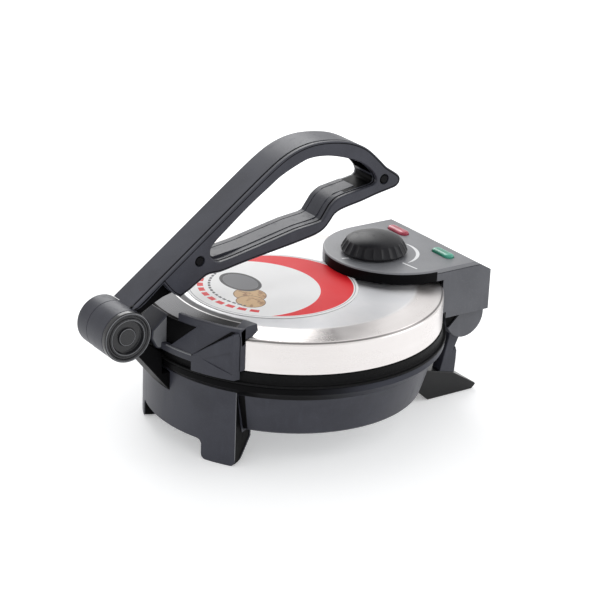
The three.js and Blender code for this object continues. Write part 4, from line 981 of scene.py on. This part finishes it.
def dial_marks():
    """A printed arc that swells in its middle, a tick at its end, and a dash before the knob"""
    first, last, radius = 17, 95, 33.4
    degrees = range(first, last + 1, 3)
    out = []
    for a in degrees:
        width = 0.4 + 2.5 * math.sin(math.pi * (a - first) / (last - first)) ** 0.6
        out += arc_of(knob_spot, radius + width, [a])
    arc = out + arc_of(knob_spot, radius, reversed(degrees))
    tick = [(30.6, 82.0), (46.8, 83.8), (46.6, 85.3), (30.4, 83.5)]
    dash = [(-1.3, 46.2), (0.8, 45.7), (2.4, 51.5), (0.6, 52)]
    return gathered("dial_marks", *[slab("mark", line, 118.1, 118.25) for line in (arc, tick, dash)])


fitted(dial_marks(), "lid", "head_plastic", white_ink())

# Indicator lamps
# Two bar-shaped lenses in clear tinted plastic, red for power and green for ready, pushed up from
# inside through the panel so that their softly domed tops stand proud.


def lens(name, deep, bright):
    clear = {"Transmission_Weight": 0.1, "Coat_Weight": 0.2, "Coat_Roughness": 0.15}
    finish = Finish(name, Specular_IOR_Level=0.4, **clear)
    cells = finish.noise(420, 2)
    cloud = finish.noise(120, 3)
    return finish.paint(
        Base_Color=finish.blend(finish.ramp(cloud, 0.35, 0.65), deep, bright),
        Roughness=0.16 + 0.12 * cells,
        Normal=finish.bump(cells, 0.00005, 0.6),
    )


lens_steps = [(0, 111.4), (0, 118.9), (0.25, 119.6), (0.8, 120.15), (1.6, 120.45), (2.8, 120.6)]
for x, name, slot, deep, bright in (
    (-lamp_x, "lamp_red", "red_lens", (0.36, 0.020, 0.045), (0.52, 0.065, 0.11)),
    (lamp_x, "lamp_green", "green_lens", (0.020, 0.24, 0.15), (0.07, 0.40, 0.28)),
):
    shade = lens(slot + "_plastic", deep, bright)
    fitted(moulded(name + "_lens", [lamp_line(x)], lens_steps), "lid", slot, shade, name)

# Knob
# A black thermostat knob pressed on the spindle: a plain foot ring, a fluted skirt that leans in,
# and a smooth domed crown.


def knob():
    """Rows of radius, height and the depth of the flutes there"""
    rows = [
        (3.3, 118.65, 0), (24.1, 118.65, 0), (24.6, 119.0, 0), (24.6, 120.7, 0), (25.8, 120.9, 0),
        (26.5, 121.2, 0.1), (26.6, 121.9, 0.7), (26.4, 122.5, 1.1), (25.6, 124.0, 1.25), (24.4, 125.9, 1.25),
        (23.2, 127.8, 1.1), (22.5, 128.9, 0.6), (22.0, 129.5, 0.1), (20.8, 130.3, 0), (18.6, 131.4, 0),
        (14.5, 132.7, 0), (9, 133.5, 0), (4, 133.85, 0), (0, 133.9, 0), (0, 128.9, 0), (3.3, 128.9, 0),
    ]
    flutes = 24

    def section(angle):
        dip = (0.5 + 0.5 * math.cos(flutes * angle)) ** 0.4
        return [(radius - depth * dip, height) for radius, height, depth in rows]

    piece = swept("dial_knob", section, steps=16 * flutes)
    piece.data.transform(Matrix.Translation((*knob_spot, 0)))
    return piece


knob_plastic = moulded_plastic("knob_plastic", (0.008, 0.008, 0.010), (0.015, 0.015, 0.018), 0.32, lustre=0.2)
fitted(knob(), "knob", "dark_plastic", knob_plastic, "knob")

# Front grip
# A slate grey moulding screwed to the front of the lid: a wall round the pan, a shelf between two
# wings, a claw over the rim on the near one, and the ramp that the lever's root presses on.


def hull_of(name, points):
    shell = bmesh.new()
    for point in points:
        shell.verts.new(point)
    bmesh.ops.convex_hull(shell, input=shell.verts)
    bmesh.ops.delete(shell, geom=[v for v in shell.verts if not v.link_faces], context="VERTS")
    mesh = bpy.data.meshes.new(name)
    shell.to_mesh(mesh)
    shell.free()
    return placed(name, mesh)


grip_half = 74.4
shelf_top, wing_high, wing_start = 87.1, 111, 43.1
slope_top = {-1: 103, 1: wing_high}


def around(deg, radius, height):
    turn = math.radians(deg)
    return radius * math.sin(turn), -radius * math.cos(turn), height


def wing_top(angle):
    climb = (126 * math.sin(abs(angle)) - wing_start) / (grip_half - wing_start)
    return shelf_top + (wing_high - shelf_top) * max(0.0, min(1.0, climb))


def cut_flat(piece):
    for low, high in ((-100, -grip_half), (grip_half, 100)):
        cut(piece, slab("end", [(low, -140), (high, -140), (high, -60), (low, -60)], 60, 130))
    return piece


def claw():
    end_face = [
        (-89.6, 115.4), (-81.9, 115.9), (-80.9, 110.3), (-85.7, 107.5), (-91.7, 105.6), (-95.5, 111.9),
        (-94.4, 100),
    ]
    hook = hull_of("claw", [(grip_half, y, z) for y, z in end_face] + [
        (68, -81.9, 114.95), (61, -85.05, 114.95), (66, -90, 107.5), (61, -85.05, 107.95), (68, -99.2, 100),
        (68, -99.2, 110),
    ])
    room = [(0, 80.6), (118, 80.6), (118, 105.7), (115.6, 106.2), (96.2, 108.7), (0, 108.7)]
    return eased(cut(hook, turned("room", room, 192)), 0.5)


def front_grip():
    low_wall = rounded([(118, 80.9), (121.8, 80.9), (121.8, 109), (118, 109)], 0.5)
    high_wall = rounded([(118, 80.9, 0.5), (121.8, 80.9, 0.5), (121.8, 114, 0.9), (118, 114, 0.5)], 0.5)
    shelf_section = rounded([
        (120.8, 83.6, 0), (123.8, 83.6, 0.2), (123.8, 81.7, 0.3), (126, 81.7, 0.7), (126, shelf_top, 1.1),
        (120.8, shelf_top, 0),
    ], 0)
    parts = [
        cut_flat(swept("low_wall", low_wall, -40, 52.2, 72)),
        cut_flat(eased(swept("parapet", high_wall, 12, 28, 48), 0.7)),
        claw(),
        swept("shelf", shelf_section, -20.6, 41.2, 48),
    ]

    def wing_section(angle):
        top = wing_top(angle)
        return rounded([
            (121.3, 74.6, 0.4), (126, 74.6, 0.9), (126, top, 0.9), (122.7, top, 0.3), (122.5, top - 2.5, 0),
            (121.3, top - 2.5, 0),
        ], 0)

    for side in (-1, 1):
        wing = swept("wing", wing_section, 20 if side > 0 else -40, 20, 40)
        facet = []
        for deg, z, depth in ((24.5, 86.7, 0.05), (34.9, 96.7, 1.1), (36.6, 78.9, 0.05)):
            facet += [around(side * deg, r, z) for r in (126 - depth, 129)]
        parts.append(eased(cut_flat(cut(wing, hull_of("facet", facet))), 0.45))
        top = slope_top[side]
        slope = [around(side * deg, r, z) for deg, r, z in (
            (9.5, 125.5, 87), (20.6, 125.5, 87), (9.5, 121, 87), (20.6, 121, 87), (22, 121.9, top),
            (36, 121.9, top), (22, 121, top), (36, 121, top), (9.5, 121.5, 84), (20.6, 125.5, 84),
        )]
        parts.append(eased(hull_of("slope", slope), 0.4))
    far_room = slab("far_room", [(-90, -140), (-60, -140), (-60, -60), (-90, -60)], 104, 130)
    wide = cut(gathered("wide", *parts), far_room)
    nose = rounded([
        (-119.5, 80.9), (-119.5, 109), (-132.9, 97.5, 1.4), (-133.2, 91.0, 1.2), (-128.3, 82.6, 1.2),
        (-122.2, 80.9, 1),
    ], 0.8)
    ramp = bar("ramp", nose, -12, 11.6, 0.9)
    return gathered("lid_front_grip", wide, ramp)


fitted(front_grip(), "lid", "shell_plastic", slate_plastic, "front_grip")


def grip_seals_and_shadow():
    """Black seals along the wings' top edges, and near-black linings on the wall beside the ramp, which paint
    the lever's shadow there
    """
    # Painted shadow of the lever on the low wall
    shade_lining = [(121.4, 87.2), (122.05, 87.2), (122.05, 108.2), (121.4, 108.2)]
    parts = []
    for side, far, top in ((1, 36, 111.3), (-1, 31, 103.6)):
        seal = [around(side * deg, r, z) for deg, r, z in (
            (19.8, 126.05, 86.6), (21.4, 126.05, 87.6), (21.4, 121, 87.6), (19.8, 121, 86.6),
            (far - 1.6, 122.7, top), (far, 122.7, top), (far - 1.6, 121, top), (far, 121, top),
        )]
        parts.append(hull_of("seal", seal))
        parts.append(swept("shade_lining", shade_lining, 6 if side > 0 else -20.5, 14.5, 24))
    return gathered("grip_seals_and_shadow", *parts)


fitted(grip_seals_and_shadow(), "lid", "dark_plastic", jet_plastic)
# Painted highlights in light grey: a face on the ramp's near side, and thin lines along the shelf's lips
ramp_highlight = rounded([
    (-120.6, 84.5), (-120.6, 106.6), (-131.9, 96.9, 1.4), (-132.2, 91.2, 1.2), (-128.0, 83.7, 1.2),
    (-123, 82.3, 1),
], 0.8)
lip = [(125, 86.4), (126.05, 86.5), (126.05, 87.2), (125, 87.5)]
lip_highlights = [swept("lip", lip, start, 12, 12) for start in (-20, 8)]
grip_highlight_pieces = gathered("grip_highlights", bar("ramp_highlight_face", ramp_highlight, 11.2, 12, 0.25), *lip_highlights)
fitted(grip_highlight_pieces, "lid", "head_plastic", highlight_plastic)

# Label
# A round printed film stuck on the lid: white, with a red crescent towards the head, two plain
# flatbreads, and rows of small dashes where a printed text would be.


label_y = -19.7


def printed_film():
    finish = Finish("printed_film", Specular_IOR_Level=0.12)
    spot = finish.vector_maths("MULTIPLY", finish.from_point(AXIS_Y + label_y), (1 / MM, 1 / MM, 0))
    x, y = finish.split(spot, "XY")

    def distance(cx, cy, squash=1.0):
        return finish.maths("SQRT", (x - cx) * (x - cx) + (y - cy) * (y - cy) * squash)

    def inside(far, size):
        return finish.ramp(far, size - 0.18, size + 0.18, 1.0, 0.0)

    middle = distance(0, 0)
    paper = finish.blend(finish.noise(40, 3), (0.88, 0.872, 0.868), (0.92, 0.915, 0.91))
    crescent = inside(middle, 63.2) * (1 - inside(distance(-4, -22), 58))
    colour = finish.blend(crescent, paper, (0.80, 0.016, 0.024))
    crumb = finish.noise(420, 4)
    toast = finish.ramp(finish.noise(150, 3), 0.52, 0.66)
    bread = finish.blend(toast, (0.62, 0.40, 0.20), (0.30, 0.13, 0.05))
    bread = finish.blend(crumb * 0.3, bread, (0.75, 0.56, 0.34))
    for cx, cy, size in ((9, -26, 13), (21, -33, 11.5)):
        edge = distance(cx, cy, 1.25)
        colour = finish.blend(inside(edge, size + 0.8), colour, (0.24, 0.13, 0.07))
        colour = finish.blend(inside(edge, size), colour, bread)
    dish = distance(-17, -18, 2.2)
    colour = finish.blend(inside(dish, 21) * (1 - inside(dish, 17.5)), colour, (0.06, 0.06, 0.065))
    colour = finish.blend(inside(dish, 17.5), colour, (0.17, 0.17, 0.18))
    turn = finish.maths("ARCTAN2", y, x)
    for radius, half, count, low, high, ink in (
        (55.5, 2.3, 11, -2.75, -0.75, (0.76, 0.03, 0.035)), (48.5, 1.0, 19, -2.6, -1.0, (0.09, 0.09, 0.10)),
    ):
        dashes = finish.maths("PINGPONG", turn * count, 1.0)
        row = inside(abs(middle - radius), half) * (turn > low) * (turn < high)
        colour = finish.blend(row * finish.ramp(dashes, 0.26, 0.34), colour, ink)
    colour = finish.blend(inside(abs(middle - 64.6), 0.3), colour, (0.32, 0.33, 0.35))
    wave = finish.noise(60, 2)
    return finish.paint(
        Base_Color=colour,
        Roughness=0.38 + 0.12 * wave,
        Normal=finish.bump(wave, 0.00005, 0.5),
    )


film = rounded([(0, 108.3, 0), (66.8, 108.3, 0.05), (66.8, 108.6, 0.15), (0, 108.6, 0)], 0)
film = turned("lid_label", film, 192, (0, label_y))
fitted(film, "lid", "label", printed_film(), "label_disc")

# Table, light and camera
# A pale table under soft studio light, seen as the photograph sees it: from the lever's side, a
# little above the lid.


def seen_by_rays(graph):
    """One where the camera sees a surface, also in a reflection or through glass"""
    kinds = ("Is Camera Ray", "Is Glossy Ray", "Is Transmission Ray")
    rays = [graph.node("ShaderNodeLightPath", output=kind) for kind in kinds]
    return graph.maths("MAXIMUM", graph.maths("MAXIMUM", rays[0], rays[1]), rays[2])


def pale_table():
    finish = Finish("pale_table", Specular_IOR_Level=0.1, Emission_Strength=0.3)
    cloud = finish.noise(3, 2)
    return finish.paint(
        Base_Color=finish.blend(cloud, (0.91, 0.91, 0.91), (0.93, 0.93, 0.93)),
        Roughness=0.75 + 0.1 * cloud,
        Emission_Color=finish.blend(seen_by_rays(finish), (0, 0, 0), (1, 1, 1)),
    )


table_half = 6.0
table_mesh = bpy.data.meshes.new("table_top")
table_corners = [(x * table_half, y * table_half, 0) for x, y in ((-1, -1), (1, -1), (1, 1), (-1, 1))]
table_mesh.from_pydata(table_corners, [], [(0, 1, 2, 3)])
table_mesh.materials.append(pale_table())
table = placed("table_top", table_mesh)
table.location.z = -0.0002

world = bpy.data.worlds.new("studio")
world.use_nodes = True
bpy.context.scene.world = world
studio = Graph(world.node_tree)
sky = world.node_tree.nodes["Background"]
sky.inputs["Color"].default_value = (0.98, 0.99, 1.0, 1)
sky.inputs["Strength"].default_value = 0.86
bright = studio.node("ShaderNodeBackground", None, {"Color": (1, 1, 1, 1)})
shades = {0: seen_by_rays(studio), 1: Value(studio, sky.outputs[0]), 2: bright}
mix = studio.node("ShaderNodeMixShader", None, shades)
studio.tree.links.new(mix.socket, studio.tree.nodes["World Output"].inputs["Surface"])


def soft_light(name, place, aim, size, power):
    lamp = bpy.data.lights.new(name, "AREA")
    lamp.shape = "RECTANGLE"
    lamp.size, lamp.size_y = size
    lamp.energy = power
    holder = placed(name, lamp)
    holder.location = place
    holder.rotation_euler = (Vector(aim) - Vector(place)).to_track_quat("-Z", "Y").to_euler()


soft_light("key", (-1.3, 0.48, 0.97), (0, 0, 0.12), (0.9, 0.9), 9)
soft_light("side", (0.9, 1.5, 0.8), (0, 0, 0.08), (1.0, 1.0), 6)

camera_turn, camera_rise, camera_roll = 0.963631, 0.386860, 0.0404476
camera_pan, camera_tilt, camera_far, camera_focal = -0.004029, -0.003073, 1.601, 2052.4


def heading(turn, rise):
    return Vector((-math.sin(turn) * math.cos(rise), math.cos(turn) * math.cos(rise), -math.sin(rise)))


camera_place = Vector((0, AXIS_Y * MM, 0.087)) - camera_far * heading(camera_turn, camera_rise)
ahead = heading(camera_turn + camera_pan, camera_rise + camera_tilt)
level = Vector((math.cos(camera_turn + camera_pan), math.sin(camera_turn + camera_pan), 0))
right = level * math.cos(camera_roll) + level.cross(ahead) * math.sin(camera_roll)
up = right.cross(ahead)
eye = bpy.data.cameras.new("camera")
sensor, photo_width = 36, 600
eye.sensor_width = sensor
eye.lens = sensor * camera_focal / photo_width
camera = placed("camera", eye)
camera.matrix_world = Matrix.Translation(camera_place) @ Matrix((right, up, -ahead)).transposed().to_4x4()
bpy.context.scene.camera = camera

bpy.context.scene.view_settings.view_transform = "Standard"
